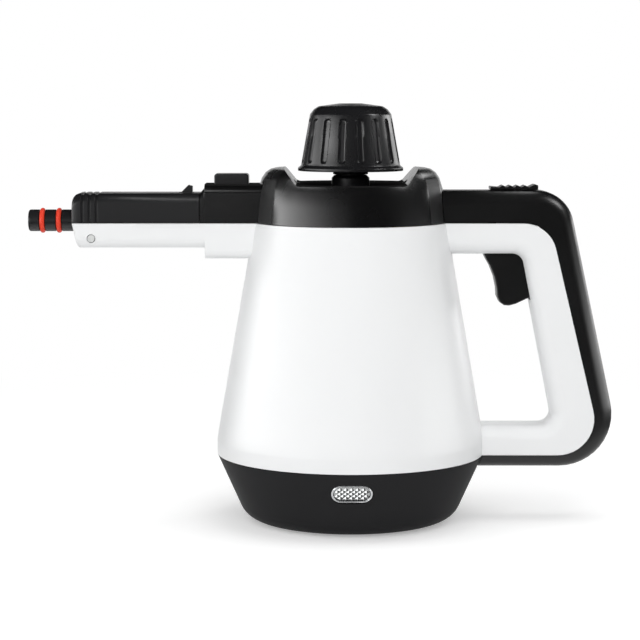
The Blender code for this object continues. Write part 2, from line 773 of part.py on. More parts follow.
def shell_holes():
    """Screw holes, the trigger's slot and pin hole, the nozzle's holes and the shallow side rails."""
    holes = [nozzle_hole()]
    for x, z in shell_screw_places():
        holes.append(rod("pilot", (x, SHELL_SCREW_TIP_Y - FIT, z), (x, SHELL_SCREW_SINK_Y + OVERRUN, z),
                         SHELL_SCREW_RADIUS + FIT))
        holes.append(rod("counterbore", (x, SHELL_SCREW_SINK_Y, z), (x, HANDLE_HALF_WIDTH + OVERRUN, z),
                         SHELL_SCREW_HEAD + FIT))
    pin_reach = trigger_pin_reach() + FIT
    holes.append(rod("pin hole", (TRIGGER_PIVOT_X, -pin_reach, TRIGGER_PIVOT_Z),
                     (TRIGGER_PIVOT_X, pin_reach, TRIGGER_PIVOT_Z), TRIGGER_PIN_RADIUS + FIT))
    slot_half = TRIGGER_HALF_WIDTH + SLOT_CLEARANCE
    holes.append(box("trigger slot", (TRIGGER_SLOT_X, -slot_half, TRIGGER_SLOT_Z),
                     (TRIGGER_SLOT_X + TRIGGER_SLOT_DEPTH, slot_half, TRIGGER_PIVOT_Z)))
    across = BARREL_HALF_WIDTH + OVERRUN
    pin_x = BARREL_FRONT_X + PIN_SETBACK
    holes.append(rod("nozzle pin hole", (pin_x, -across, PIN_Z), (pin_x, across, PIN_Z), PIN_RADIUS + FIT))
    for side in (-1, 1):
        edges = sorted((side * (BARREL_HALF_WIDTH - RAIL_DEPTH), side * across))
        holes.append(box("rail", (BARREL_FRONT_X + RAIL_SETBACK, edges[0], RAIL_Z),
                         (SHROUD_END_X, edges[1], BODY_SEAM_Z + OVERRUN)))
        holes.append(rod("spring pocket", (TRIGGER_PIVOT_X, side * TRIGGER_HALF_WIDTH, TRIGGER_PIVOT_Z),
                         (TRIGGER_PIVOT_X, side * pin_boss_start(), TRIGGER_PIVOT_Z),
                         TRIGGER_PIN_RADIUS + FIT + 2 * TRIGGER_SPRING_WIRE + SLOT_CLEARANCE))
    return holes


def body_shells():
    """The white clamshell: cone, lower barrel and the inner half of the handle, split down the middle."""
    shell = body_cone(0, OVERRUN)
    lower_shroud = along_x("lower shroud", LOWER_SHROUD_Z, BODY_SEAM_Z + OVERRUN, BARREL_HALF_WIDTH,
                           BARREL_EDGE, 0,
                           LOWER_SHROUD_X, -HANDLE_START_X)
    join(shell, handle_solid(0), lower_barrel_solid(), lower_shroud)
    combine(shell, [white_zone(-SEAM_GAP / 2)], "INTERSECT")
    inner_edge = BARREL_EDGE - WALL
    barrel_cavity = along_x("barrel cavity", BARREL_BOTTOM_Z + WALL, BODY_SEAM_Z + OVERRUN,
                            BARREL_HALF_WIDTH - WALL,
                            inner_edge, 0, barrel_cavity_start(), -HANDLE_START_X)
    shroud_cavity = along_x("shroud cavity", LOWER_SHROUD_Z + WALL, BODY_SEAM_Z + OVERRUN,
                            BARREL_HALF_WIDTH - WALL,
                            inner_edge, 0, LOWER_SHROUD_X + WALL, -HANDLE_START_X)
    cut(shell, body_cone(WALL, OVERRUN * 2), handle_solid(WALL), barrel_cavity, shroud_cavity)
    join(shell, *shell_bosses())
    cut(shell, *shell_holes())
    rear = copy_of(shell, "body_shell_rear")
    shell.name = "body_shell_front"
    far = NOZZLE_REACH * 2
    cut(shell, box("rear side", (-far, -SEAM_GAP / 2, -far), (far, far, far)))
    cut(rear, box("front side", (-far, -far, -far), (far, SEAM_GAP / 2, far)))
    return [(shell, "white_plastic"), (rear, "white_plastic")]


def handle_spine():
    """The black strip along the top and back of the handle, with the slot for the lock slider."""
    start, end = stem_span()
    spine = handle_solid(0)
    cut(spine, white_zone(SEAM_GAP / 2), handle_solid(WALL), collar_solid(SEAM_GAP),
        base_bowl(SEAM_GAP, BASE_SEAM_Z + OVERRUN),
        box("stem slot", (start - SLIDER_TRAVEL - SLOT_CLEARANCE, -STEM_HALF_WIDTH - SLOT_CLEARANCE,
                          SPINE_TOP_Z - WALL - OVERRUN),
            (end + SLOT_CLEARANCE, STEM_HALF_WIDTH + SLOT_CLEARANCE, SPINE_TOP_Z + OVERRUN)))
    spine.name = "handle_spine"
    return [(spine, "black_matte")]


def collar_ring(radius, z):
    """The collar's plan outline: a circle with a flat cheek beside each arm."""
    front = [CHEEK_OUTER + (math.pi - 2 * CHEEK_OUTER) * k / COLLAR_ARC_STEPS
             for k in range(COLLAR_ARC_STEPS + 1)]
    end = [-CHEEK_INNER, -CHEEK_INNER / 2, 0, CHEEK_INNER / 2, CHEEK_INNER]
    angles = end + front + [math.pi + angle for angle in end + front]
    return [(radius * math.cos(angle), radius * math.sin(angle), z) for angle in angles]


def below_rim():
    """Everything under the top housing's rim."""
    far = NOZZLE_REACH * 2
    return box("below rim", (-far, -far, -far), (far, far, BODY_SEAM_Z + SEAM_GAP / 2))


def collar_solid(offset, low_z=BODY_SEAM_Z - OVERRUN, drop=0.0):
    rings = [collar_ring(COLLAR_RADIUS + offset, low_z)]
    for height_share, radius_share in COLLAR_LEVEL_SHARES:
        level = BODY_SEAM_Z + (COLLAR_TOP_Z - BODY_SEAM_Z) * height_share - drop
        rings.append(collar_ring(COLLAR_RADIUS * radius_share + offset, level))
    return loft("collar", rings)


def lip_notch(offset):
    """The channel across the collar, open at the front and the back, that leaves two ears."""
    crest = COLLAR_TOP_Z + OVERRUN * 2
    spread = (EAR_INNER_X - LIP_HALF_WIDTH) * (crest - LIP_Z) / (COLLAR_TOP_Z - LIP_Z)
    top_x = LIP_HALF_WIDTH + spread
    corners = ((top_x, crest), (LIP_HALF_WIDTH, LIP_Z), (-LIP_HALF_WIDTH, LIP_Z), (-top_x, crest))
    outline = rounded_path(corners, (LIP_FILLET, LIP_FILLET), offset)
    return prism("notch", outline, -BODY_FOOT_RADIUS, BODY_FOOT_RADIUS)


def top_housing():
    """The black collar with its ears and dish, and the shroud that covers the latch."""
    housing = collar_solid(0)
    shroud_rings = []
    for x, top_z in ((SHROUD_END_X, SHROUD_STEP_Z),
                     (SHROUD_END_X + SHROUD_CHAMFER, SHROUD_STEP_Z + BARREL_EDGE / 2),
                     (SHROUD_END_X + SHROUD_CHAMFER + FIT, SHROUD_TOP_Z), (-HANDLE_START_X, SHROUD_TOP_Z)):
        section = rounded_section(BODY_SEAM_Z - OVERRUN / 2, top_z, BARREL_HALF_WIDTH, 0, BARREL_EDGE)
        shroud_rings.append([(x, y, z) for y, z in section])
    join(housing, loft("shroud", shroud_rings))
    cut(housing, lip_notch(0), below_rim())
    cavity = collar_solid(-WALL, drop=WALL)
    cut(cavity, lip_notch(WALL + DISH_DEPTH))
    half_width = BARREL_HALF_WIDTH - WALL
    edge = BARREL_EDGE - WALL
    low_channel = along_x("low channel", BODY_SEAM_Z - OVERRUN, BARREL_TOP_Z - WALL, half_width, 0, edge,
                          SHROUD_END_X - OVERRUN, -HANDLE_START_X)
    high_channel = along_x("high channel", BODY_SEAM_Z - OVERRUN, SHROUD_TOP_Z - WALL, half_width, 0, edge,
                           SHROUD_END_X + SHROUD_CHAMFER + WALL, -HANDLE_START_X)
    cut(housing, cavity, low_channel, high_channel)
    dish = lathe("dish", ((0, LIP_Z - DISH_DEPTH), (DISH_RADIUS / 2, LIP_Z - DISH_DEPTH),
                          (DISH_RADIUS, LIP_Z),
                          (DISH_RADIUS, LIP_Z + OVERRUN), (0, LIP_Z + OVERRUN)), ROUND_FACETS)
    neck_hole = rod("neck hole", (0, 0, LIP_Z - DISH_DEPTH - WALL - OVERRUN), (0, 0, LIP_Z),
                    NECK_HOLE_RADIUS,
                    ROUND_FACETS)
    button_half = BUTTON_HALF_WIDTH + SLOT_CLEARANCE
    button_sweep = (SHROUD_TOP_Z - LATCH_PIVOT_Z) * math.sin(LATCH_SWING)
    slot = box("button slot", (BUTTON_START_X - SLOT_CLEARANCE - button_sweep, -button_half,
                               SHROUD_TOP_Z - WALL - OVERRUN),
               (BUTTON_END_X + SLOT_CLEARANCE, button_half, SHROUD_TOP_Z + OVERRUN))
    cut(housing, dish, neck_hole, slot)
    housing.name = "top_housing"
    seal = lathe("dish_seal", ((NECK_RADIUS + FIT, LIP_Z - DISH_DEPTH - WALL), (NECK_HOLE_RADIUS - FIT,
                                                                             LIP_Z - DISH_DEPTH - WALL),
                               (NECK_HOLE_RADIUS - FIT, LIP_Z - DISH_DEPTH),
                               (NECK_RADIUS + FIT, LIP_Z - DISH_DEPTH)))
    return [(housing, "black_gloss"), (seal, "black_rubber")]


def barrel_ring(x, inset_top, inset_side):
    section = rounded_section(BODY_SEAM_Z - OVERRUN + inset_side, BARREL_TOP_Z - inset_top,
                              BARREL_HALF_WIDTH - inset_side, 0, BARREL_EDGE)
    return [(x, y, z) for y, z in section]


def nozzle_cover():
    """The black upper half of the barrel: round nose, three ring grooves and the wedge's slot."""
    rings = []
    for step in range(CORNER_STEPS + 1):
        angle = math.pi / 2 * step / CORNER_STEPS
        short = 1 - math.sin(angle)
        rings.append(barrel_ring(BARREL_FRONT_X + BARREL_NOSE * (1 - math.cos(angle)), BARREL_NOSE * short,
                                 NOSE_ROUND * short))
    for groove in range(GROOVE_COUNT):
        centre = BARREL_FRONT_X + GROOVE_SETBACK + GROOVE_PITCH * groove
        for x, depth in ((centre - GROOVE_WIDTH / 2, 0), (centre - GROOVE_WIDTH / 2, GROOVE_DEPTH),
                         (centre + GROOVE_WIDTH / 2, GROOVE_DEPTH), (centre + GROOVE_WIDTH / 2, 0)):
            rings.append(barrel_ring(x, depth, depth))
    rings.append(barrel_ring(SHROUD_END_X - SEAM_GAP, 0, 0))
    cover = loft("nozzle_cover", rings)
    cavity = along_x("cavity", BODY_SEAM_Z - OVERRUN, BARREL_TOP_Z - WALL, BARREL_HALF_WIDTH - WALL, 0,
                     BARREL_EDGE - WALL, barrel_cavity_start(), SHROUD_END_X + OVERRUN)
    wedge_half = WEDGE_HALF_WIDTH + SLOT_CLEARANCE
    slot = box("wedge slot", (WEDGE_START_X - SLOT_CLEARANCE, -wedge_half, BARREL_TOP_Z - WALL - OVERRUN),
               (WEDGE_END_X + SLOT_CLEARANCE, wedge_half, BARREL_TOP_Z + OVERRUN))
    cut(cover, below_rim(), cavity, nozzle_hole(), slot)
    return [(cover, "black_satin")]


def nozzle_parts():
    """The tip with its two seals and its jet, the steam line behind it, and the grey locating pin."""
    groove = RING_RADIUS - RING_THICK - FIT
    flange_x = barrel_cavity_start() + FIT
    profile = [(TIP_BORE, 0), (TIP_RADIUS - TIP_ROUND, 0)]
    profile += curve_between((TIP_RADIUS - TIP_ROUND, 0), (TIP_RADIUS, 0), (TIP_RADIUS, TIP_ROUND),
                             CORNER_STEPS - 1)
    for centre in (FRONT_RING_SETBACK, REAR_RING_SETBACK):
        half = RING_THICK / 2 + FIT
        profile += [(TIP_RADIUS, centre - half), (groove, centre - half), (groove, centre + half),
                    (TIP_RADIUS, centre + half)]
    for x, low, high in ((flange_x, TIP_RADIUS, TIP_FLANGE_RADIUS),
                         (flange_x + TIP_FLANGE, TIP_FLANGE_RADIUS, TIP_RADIUS)):
        profile += [(low, x + NOZZLE_REACH), (high, x + NOZZLE_REACH)]
    profile += [(TIP_RADIUS, TIP_LENGTH + TIP_TAIL), (TIP_BORE, TIP_LENGTH + TIP_TAIL)]
    tip = lay_along_x(lathe("nozzle_tip", profile), -NOZZLE_REACH, NOZZLE_Z)
    parts = [(tip, "black_satin")]
    for name, setback in (("o_ring_front", FRONT_RING_SETBACK), ("o_ring_rear", REAR_RING_SETBACK)):
        middle = RING_RADIUS - RING_THICK / 2
        circle = [(middle + RING_THICK / 2 * math.cos(2 * math.pi * k / SMALL_FACETS),
                   RING_THICK / 2 * math.sin(2 * math.pi * k / SMALL_FACETS))
                  for k in range(0, SMALL_FACETS, 2)]
        parts.append((lay_along_x(lathe(name, circle), setback - NOZZLE_REACH, NOZZLE_Z), "red_rubber"))
    jet = lathe("nozzle_jet",
                ((JET_BORE, 0), (JET_RADIUS, 0), (JET_RADIUS, JET_LENGTH), (JET_BORE, JET_LENGTH)),
                SMALL_FACETS)
    parts.append((lay_along_x(jet, -NOZZLE_REACH + TIP_ROUND / 2, NOZZLE_Z), "brass"))
    pipe_start = BARREL_FRONT_X + PIPE_SETBACK
    pipe_length = PIPE_END_X - pipe_start
    pipe = lathe("steam_pipe", ((PIPE_BORE, 0), (PIPE_RADIUS, 0), (PIPE_RADIUS, pipe_length),
                                (PIPE_BORE, pipe_length)), SMALL_FACETS)
    parts.append((lay_along_x(pipe, pipe_start, NOZZLE_Z), "steel"))
    rise = rod_z() - NOZZLE_Z
    knots = [(PIPE_END_X + (NIPPLE_X - PIPE_END_X) * reach, HOSE_SWING * swing, NOZZLE_Z + rise * drop)
             for reach, swing, drop in HOSE_ROUTE_SHARES]
    knots.insert(0, (PIPE_END_X - HOSE_LAP, 0, NOZZLE_Z))
    for reach in (NIPPLE_LENGTH, 0):
        knots.append((NIPPLE_X, VALVE_HALF_WIDTH + reach + FIT, rod_z()))
    hose_bore = (PIPE_RADIUS + FIT) / math.cos(math.pi / HOSE_FACETS)
    hose = sweep("steam_hose", smooth_route(knots, ROUTE_STEPS), [HOSE_RADIUS, hose_bore], HOSE_FACETS)
    parts.append((hose, "silicone"))
    pin_x = BARREL_FRONT_X + PIN_SETBACK
    pin = rod("nozzle_pin", (pin_x, -BARREL_HALF_WIDTH, PIN_Z), (pin_x, BARREL_HALF_WIDTH, PIN_Z),
              PIN_RADIUS)
    parts.append((pin, "grey_plastic"))
    return parts


def rod_z():
    return TRIGGER_PIVOT_Z + TRIGGER_ARM


def torsion_spring_length():
    """The trigger's and the latch's springs: each turn clears the next by the fit."""
    return (2 * TRIGGER_SPRING_WIRE + FIT) * TRIGGER_SPRING_TURNS


def pin_boss_start():
    """The boss begins past the trigger's hub and the spring beside it."""
    return TRIGGER_HALF_WIDTH + 3 * FIT + 2 * TRIGGER_SPRING_WIRE + torsion_spring_length()


def trigger_pin_reach():
    return (pin_boss_start() + HANDLE_HALF_WIDTH) / 2


def trigger_parts():
    """The trigger blade with its hub and arm, its pin, and the torsion spring on the pin."""
    outline = [(TRIGGER_PIVOT_X + TRIGGER_DEPTH * x, TRIGGER_PIVOT_Z + TRIGGER_REACH * z)
               for x, z in TRIGGER_OUTLINE_SHARES]
    pivot = Vector((TRIGGER_PIVOT_X, 0, TRIGGER_PIVOT_Z))
    blade = bevel(prism("trigger", outline, -TRIGGER_HALF_WIDTH, TRIGGER_HALF_WIDTH), TRIGGER_EDGE)
    half = Vector((0, TRIGGER_HALF_WIDTH, 0))
    hub_half = Vector((0, TRIGGER_HALF_WIDTH + FIT, 0))
    hub = rod("hub", pivot - hub_half, pivot + hub_half, TRIGGER_HUB)
    arm = box("arm", (TRIGGER_PIVOT_X - TRIGGER_ARM_RADIUS, -TRIGGER_ARM_HALF_WIDTH, TRIGGER_PIVOT_Z),
              (TRIGGER_PIVOT_X + TRIGGER_ARM_RADIUS, TRIGGER_ARM_HALF_WIDTH, rod_z()))
    nose = rod("nose", (TRIGGER_PIVOT_X, -TRIGGER_ARM_HALF_WIDTH - FIT, rod_z()),
               (TRIGGER_PIVOT_X, TRIGGER_ARM_HALF_WIDTH + FIT, rod_z()), TRIGGER_ARM_RADIUS + FIT)
    join(blade, hub, arm, nose)
    cut(blade, rod("bore", pivot - half * 2, pivot + half * 2, TRIGGER_PIN_RADIUS + FIT))
    reach = Vector((0, trigger_pin_reach(), 0))
    pin = rod("trigger_pin", pivot - reach, pivot + reach, TRIGGER_PIN_RADIUS)
    wire = TRIGGER_SPRING_WIRE
    start = pivot + hub_half + Vector((0, FIT + wire, 0))
    spring = coil("trigger_spring", start, (0, 1, 0), torsion_spring_length(), TRIGGER_SPRING_TURNS,
                  TRIGGER_PIN_RADIUS + FIT + wire, wire,
                  ((-TRIGGER_SPRING_LEG, 0, 0), (-TRIGGER_SPRING_LEG, 0, TRIGGER_SPRING_LEG / 2)))
    return [(blade, "black_matte"), (pin, "steel"), (spring, "steel")]


def stem_span():
    start = SLIDER_START_X + STEM_SETBACK
    return start, start + STEM_LENGTH


def lock_parts():
    """The ribbed thumb slider and the bar that it carries over the trigger's arm."""
    bottom = SPINE_TOP_Z + FIT
    outline = [(SLIDER_START_X, bottom), (SLIDER_START_X, SLIDER_TOP_Z)]
    for tooth in range(SLIDER_TOOTH_COUNT):
        peak = SLIDER_START_X + SLIDER_FIRST_TOOTH + SLIDER_TOOTH_PITCH * tooth
        outline += [(peak - SLIDER_TOOTH_PITCH / 2, SLIDER_TOP_Z - SLIDER_VALLEY),
                    (peak, SLIDER_TOP_Z + SLIDER_PEAK)]
    outline += [(peak + SLIDER_TOOTH_PITCH / 2, SLIDER_TOP_Z - SLIDER_VALLEY),
                (SLIDER_END_X - SLIDER_TOE_LENGTH, SLIDER_TOP_Z + SLIDER_TOE),
                (SLIDER_END_X, SLIDER_TOP_Z + SLIDER_PEAK),
                (SLIDER_END_X, bottom)]
    slider = prism("lock_slider", outline, -SLIDER_HALF_WIDTH, SLIDER_HALF_WIDTH)
    start, end = stem_span()
    stem_bottom = SPINE_TOP_Z - WALL - FIT
    join(slider, box("stem", (start, -STEM_HALF_WIDTH, stem_bottom), (end, STEM_HALF_WIDTH, bottom + FIT)))
    bar_top = stem_bottom - FIT
    finger_bottom = rod_z() + TRIGGER_ARM_RADIUS + SLOT_CLEARANCE
    bar_outline = ((start, bar_top), (start, finger_bottom), (start + LOCK_FINGER, finger_bottom),
                   (start + LOCK_FINGER, bar_top - LOCK_BAR_HEIGHT),
                   (start + LOCK_BAR_LENGTH, bar_top - LOCK_BAR_HEIGHT),
                   (start + LOCK_BAR_LENGTH, bar_top))
    bar = prism("lock_bar", bar_outline, -SLIDER_HALF_WIDTH / 2, SLIDER_HALF_WIDTH / 2)
    return [(slider, "black_matte"), (bar, "black_matte")]


def valve_parts():
    """The steam valve on the boiler, the rod that opens it and the spring that shuts it."""
    foot = BOILER_TOP_Z + FIT
    bore_radius = ROD_RADIUS + FIT
    body = bevel(box("steam_valve", (VALVE_START_X, -VALVE_HALF_WIDTH, foot),
                     (VALVE_END_X, VALVE_HALF_WIDTH, rod_z() + VALVE_RISE)), VALVE_EDGE)
    join(body, rod("nipple", (NIPPLE_X, 0, rod_z()), (NIPPLE_X, VALVE_HALF_WIDTH + NIPPLE_LENGTH, rod_z()),
                   PIPE_RADIUS))
    bore_start = VALVE_START_X + VALVE_FLOOR
    cut(body, rod("bore", (bore_start, 0, rod_z()), (VALVE_END_X + OVERRUN, 0, rod_z()), bore_radius))
    rod_start = VALVE_END_X - ROD_DEPTH
    push_rod = rod("push_rod", (rod_start, 0, rod_z()),
                   (TRIGGER_PIVOT_X - TRIGGER_ARM_RADIUS - FIT, 0, rod_z()), ROD_RADIUS)
    wire = VALVE_SPRING_WIRE
    spring = coil("valve_spring", (bore_start + FIT + wire, 0, rod_z()), (1, 0, 0),
                  VALVE_SPRING_LENGTH - 2 * wire, VALVE_SPRING_TURNS, ROD_RADIUS - wire, wire)
    return [(body, "brass"), (push_rod, "steel"), (spring, "steel")]


def latch_parts():
    """The latch lever with its button and its wedge tooth, its pin, and its torsion spring."""
    pivot = Vector((LATCH_PIVOT_X, 0, LATCH_PIVOT_Z))
    low = LATCH_PIVOT_Z - LATCH_THICKNESS / 2
    high = LATCH_PIVOT_Z + LATCH_THICKNESS / 2
    lever = box("latch_lever", (WEDGE_START_X, -LATCH_HALF_WIDTH, low),
                (LATCH_PIVOT_X, LATCH_HALF_WIDTH, high))
    half = Vector((0, LATCH_HALF_WIDTH, 0))
    hub_half = half + Vector((0, FIT, 0))
    hub = rod("hub", pivot - hub_half, pivot + hub_half, LATCH_HUB)
    corners = ((BUTTON_START_X, low + FIT), (BUTTON_START_X, BUTTON_TOP_Z), (BUTTON_END_X, BUTTON_TOP_Z),
               (BUTTON_END_X, low + FIT))
    button = bevel(prism("button", rounded_path(corners, (BUTTON_ROUND, BUTTON_ROUND)), -BUTTON_HALF_WIDTH,
                         BUTTON_HALF_WIDTH), BUTTON_EDGE)
    wedge = prism("wedge", ((WEDGE_START_X, low + FIT), (WEDGE_START_X, BARREL_TOP_Z - SLOT_CLEARANCE),
                            (WEDGE_PEAK_X, WEDGE_PEAK_Z), (WEDGE_END_X, WEDGE_PEAK_Z - SLOT_CLEARANCE),
                            (WEDGE_END_X, low + FIT)), -WEDGE_HALF_WIDTH, WEDGE_HALF_WIDTH)
    join(lever, hub, button, wedge)
    cut(lever, rod("bore", pivot - half * 2, pivot + half * 2, LATCH_PIN_RADIUS + FIT))
    reach = Vector((0, BARREL_HALF_WIDTH - WALL - FIT, 0))
    pin = rod("latch_pin", pivot - reach, pivot + reach, LATCH_PIN_RADIUS)
    wire = TRIGGER_SPRING_WIRE
    start = pivot + hub_half + Vector((0, FIT + wire, 0))
    spring = coil("latch_spring", start, (0, 1, 0), torsion_spring_length(), TRIGGER_SPRING_TURNS,
                  LATCH_PIN_RADIUS + FIT + wire, wire)
    return [(lever, "black_satin"), (pin, "steel"), (spring, "steel")]


def spread_round(count, circle, start_angle):
    for index in range(count):
        angle = start_angle + 2 * math.pi * index / count
        yield index + 1, circle * math.cos(angle), circle * math.sin(angle)


def base_parts():
    """The bowl with its screw posts, foot seats, lamp window and cord inlet, and what sits in it."""
    rim_z = BASE_SEAM_Z - SEAM_GAP / 2
    shell = cut(base_bowl(0, rim_z), base_bowl(-WALL, rim_z + OVERRUN))
    parts = []
    posts = []
    holes = []
    head_seat_z = BASE_BOTTOM_Z + SCREW_SINK
    post_top = BOILER_BOTTOM_Z - FIT
    for number, x, y in spread_round(POST_COUNT, POST_CIRCLE_RADIUS, 0):
        posts.append(rod("post", (x, y, BASE_BOTTOM_Z + WALL / 2), (x, y, post_top), POST_RADIUS))
        holes.append(rod("counterbore", (x, y, BASE_BOTTOM_Z - OVERRUN), (x, y, head_seat_z),
                         SCREW_HEAD_RADIUS + FIT))
        holes.append(rod("bore", (x, y, BASE_BOTTOM_Z), (x, y, post_top + OVERRUN), SCREW_RADIUS + FIT))
        head_top = head_seat_z - FIT
        length = BOILER_BOTTOM_Z + SCREW_BITE - head_top
        profile = ((0, -SCREW_HEAD), (SCREW_HEAD_RADIUS, -SCREW_HEAD), (SCREW_HEAD_RADIUS, 0),
                   (SCREW_RADIUS, 0),
                   (SCREW_RADIUS, length), (0, length))
        screw = lathe(f"base_screw_{number}", profile, SMALL_FACETS)
        screw.location = (x, y, head_top)
        parts.append((screw, "steel"))
    for number, x, y in spread_round(FOOT_COUNT, FOOT_CIRCLE_RADIUS, FOOT_ANGLE):
        seat_top = BASE_BOTTOM_Z + FOOT_SEAT
        holes.append(rod("seat", (x, y, BASE_BOTTOM_Z - OVERRUN), (x, y, seat_top), FOOT_RADIUS + FIT,
                         ROUND_FACETS))
        foot = rod(f"foot_{number}", (0, 0, 0), (0, 0, seat_top - FIT), FOOT_RADIUS, ROUND_FACETS)
        foot.location = (x, y, 0)
        parts.append((foot, "black_rubber"))
    front = base_wall_frame(LAMP_Z, -1)
    window = slab("window", stadium(LAMP_LENGTH + 2 * FIT, LAMP_HEIGHT + 2 * FIT), -WALL * 2, OVERRUN)
    window.data.transform(front)
    back = base_wall_frame(GLAND_Z, 1)
    gland_hole = rod("gland hole", (0, 0, -WALL * 2), (0, 0, OVERRUN), GLAND_RADIUS + FIT, ROUND_FACETS)
    gland_hole.data.transform(back)
    join(shell, *posts)
    cut(shell, *holes, window, gland_hole)
    shell.name = "base_shell"
    parts.append((shell, "black_satin"))
    gland = lathe("cord_gland", ((GLAND_BORE, -WALL * 2), (GLAND_RADIUS, -WALL * 2), (GLAND_RADIUS, FIT),
                                 (GLAND_LIP, FIT), (GLAND_LIP, GLAND_PROUD / 2),
                                 (GLAND_RADIUS, GLAND_PROUD),
                                 (GLAND_BORE, GLAND_PROUD)))
    gland.matrix_world = back
    parts.append((gland, "black_rubber"))
    return parts + lamp_parts(front)


def lamp_parts(frame):
    bezel = slab("lamp_bezel", stadium(LAMP_LENGTH, LAMP_HEIGHT), -LAMP_DEPTH, -LAMP_SINK)
    hole_length = LAMP_LENGTH - 2 * LAMP_RIM
    hole_height = LAMP_HEIGHT - 2 * LAMP_RIM
    cut(bezel, slab("hole", stadium(hole_length, hole_height), -LAMP_DEPTH - OVERRUN, OVERRUN))
    edge_z = -LAMP_SINK - LENS_SINK
    rings = []
    for trim, z in ((FIT, -LAMP_DEPTH), (FIT, edge_z), (FIT + LENS_CROWN, edge_z + LENS_CROWN / 2)):
        rings.append([(x, y, z) for x, y in stadium(hole_length - 2 * trim, hole_height - 2 * trim)])
    lens = loft("lamp_lens", rings)
    bulb_z = -LAMP_DEPTH - FIT - BULB_RADIUS
    bulb = rod("lamp_bulb", (-BULB_LENGTH / 2, 0, bulb_z), (BULB_LENGTH / 2, 0, bulb_z), BULB_RADIUS)
    for item in (bezel, lens, bulb):
        item.matrix_world = frame
    return [(bezel, "chrome_trim"), (lens, "clear_lens"), (bulb, "lamp_bulb")]


def boiler_parts():
    """Two cast halves with a gasket, and the heater, thermostat and fuse under them."""
    inner = BOILER_RADIUS - BOILER_WALL
    lower_rim = BOILER_JOINT_Z
    upper_rim = BOILER_JOINT_Z + BOILER_GASKET + 2 * FIT
    floor_z = BOILER_BOTTOM_Z + BOILER_FLOOR
    roof_z = BOILER_TOP_Z - BOILER_WALL
    corner = BOILER_CORNER
    bottom = lathe("boiler_bottom", (
        (0, BOILER_BOTTOM_Z), (BOILER_RADIUS - corner / 2, BOILER_BOTTOM_Z),
        (BOILER_RADIUS, BOILER_BOTTOM_Z + corner / 2),
        (BOILER_RADIUS, lower_rim - BOILER_FLANGE), (BOILER_FLANGE_RADIUS, lower_rim - BOILER_FLANGE),
        (BOILER_FLANGE_RADIUS, lower_rim), (inner, lower_rim), (inner, floor_z + corner / 2),
        (inner - corner / 2, floor_z), (0, floor_z)), ROUND_FACETS)
    cut(bottom, *[rod("screw hole", (x, y, BOILER_BOTTOM_Z - OVERRUN),
                      (x, y, BOILER_BOTTOM_Z + SCREW_BITE + FIT),
                      SCREW_RADIUS + FIT) for _, x, y in spread_round(POST_COUNT, POST_CIRCLE_RADIUS, 0)])
    hole = NECK_FLANGE_RADIUS - NECK_SEAT
    top = lathe("boiler_top", (
        (inner, upper_rim), (BOILER_FLANGE_RADIUS, upper_rim),
        (BOILER_FLANGE_RADIUS, upper_rim + BOILER_FLANGE),
        (BOILER_RADIUS, upper_rim + BOILER_FLANGE), (BOILER_RADIUS, roof_z),
        (BOILER_RADIUS - BOILER_WALL, BOILER_TOP_Z), (hole, BOILER_TOP_Z), (hole, roof_z),
        (inner, roof_z)),
        ROUND_FACETS)
    gasket = lathe("boiler_gasket", ((inner, lower_rim + FIT), (BOILER_FLANGE_RADIUS, lower_rim + FIT),
                                     (BOILER_FLANGE_RADIUS, lower_rim + FIT + BOILER_GASKET),
                                     (inner, lower_rim + FIT + BOILER_GASKET)), ROUND_FACETS)
    heater_z = BOILER_BOTTOM_Z - FIT - HEATER_RADIUS
    points = []
    for step in range(HEATER_STEPS + 1):
        angle = HEATER_GAP_ANGLE / 2 + (2 * math.pi - HEATER_GAP_ANGLE) * step / HEATER_STEPS
        points.append(Vector((HEATER_CIRCLE_RADIUS * math.cos(angle),
                              HEATER_CIRCLE_RADIUS * math.sin(angle), heater_z)))
    drop = Vector((0, 0, HEATER_LEG))
    points = [points[0] - drop] + points + [points[-1] - drop]
    heater = sweep("heating_element", points, [HEATER_RADIUS], HOSE_FACETS)
    thermostat = rod("thermostat", (0, 0, BOILER_BOTTOM_Z - FIT - THERMOSTAT_HEIGHT),
                     (0, 0, BOILER_BOTTOM_Z - FIT),
                     THERMOSTAT_RADIUS, ROUND_FACETS)
    fuse_z = BOILER_BOTTOM_Z - FIT - FUSE_RADIUS
    fuse = rod("thermal_fuse", (-FUSE_LENGTH / 2, FUSE_Y, fuse_z), (FUSE_LENGTH / 2, FUSE_Y, fuse_z),
               FUSE_RADIUS)
    return [(bottom, "cast_aluminium"), (top, "cast_aluminium"), (gasket, "black_rubber"),
            (heater, "steel"),
            (thermostat, "steel"), (fuse, "grey_plastic")]


def filler_neck():
    foot = BOILER_TOP_Z + FIT
    top_radius = NECK_RADIUS - NECK_BEVEL
    neck = lathe("filler_neck", (
        (NECK_BORE, foot), (NECK_FLANGE_RADIUS, foot), (NECK_FLANGE_RADIUS, foot + NECK_FLANGE),
        (NECK_RADIUS, foot + NECK_FLANGE), (NECK_RADIUS, NECK_TOP_Z - NECK_BEVEL),
        (top_radius, NECK_TOP_Z),
        (NECK_BORE, NECK_TOP_Z)), ROUND_FACETS)
    return [(neck, "black_satin")]


def cap_inner_radius(z):
    share = (z - CAP_SKIRT_Z) / (CAP_SHOULDER_Z - CAP_SKIRT_Z)
    return CAP_SKIRT_RADIUS + (CAP_SHOULDER_RADIUS - CAP_SKIRT_RADIUS) * share - CAP_WALL


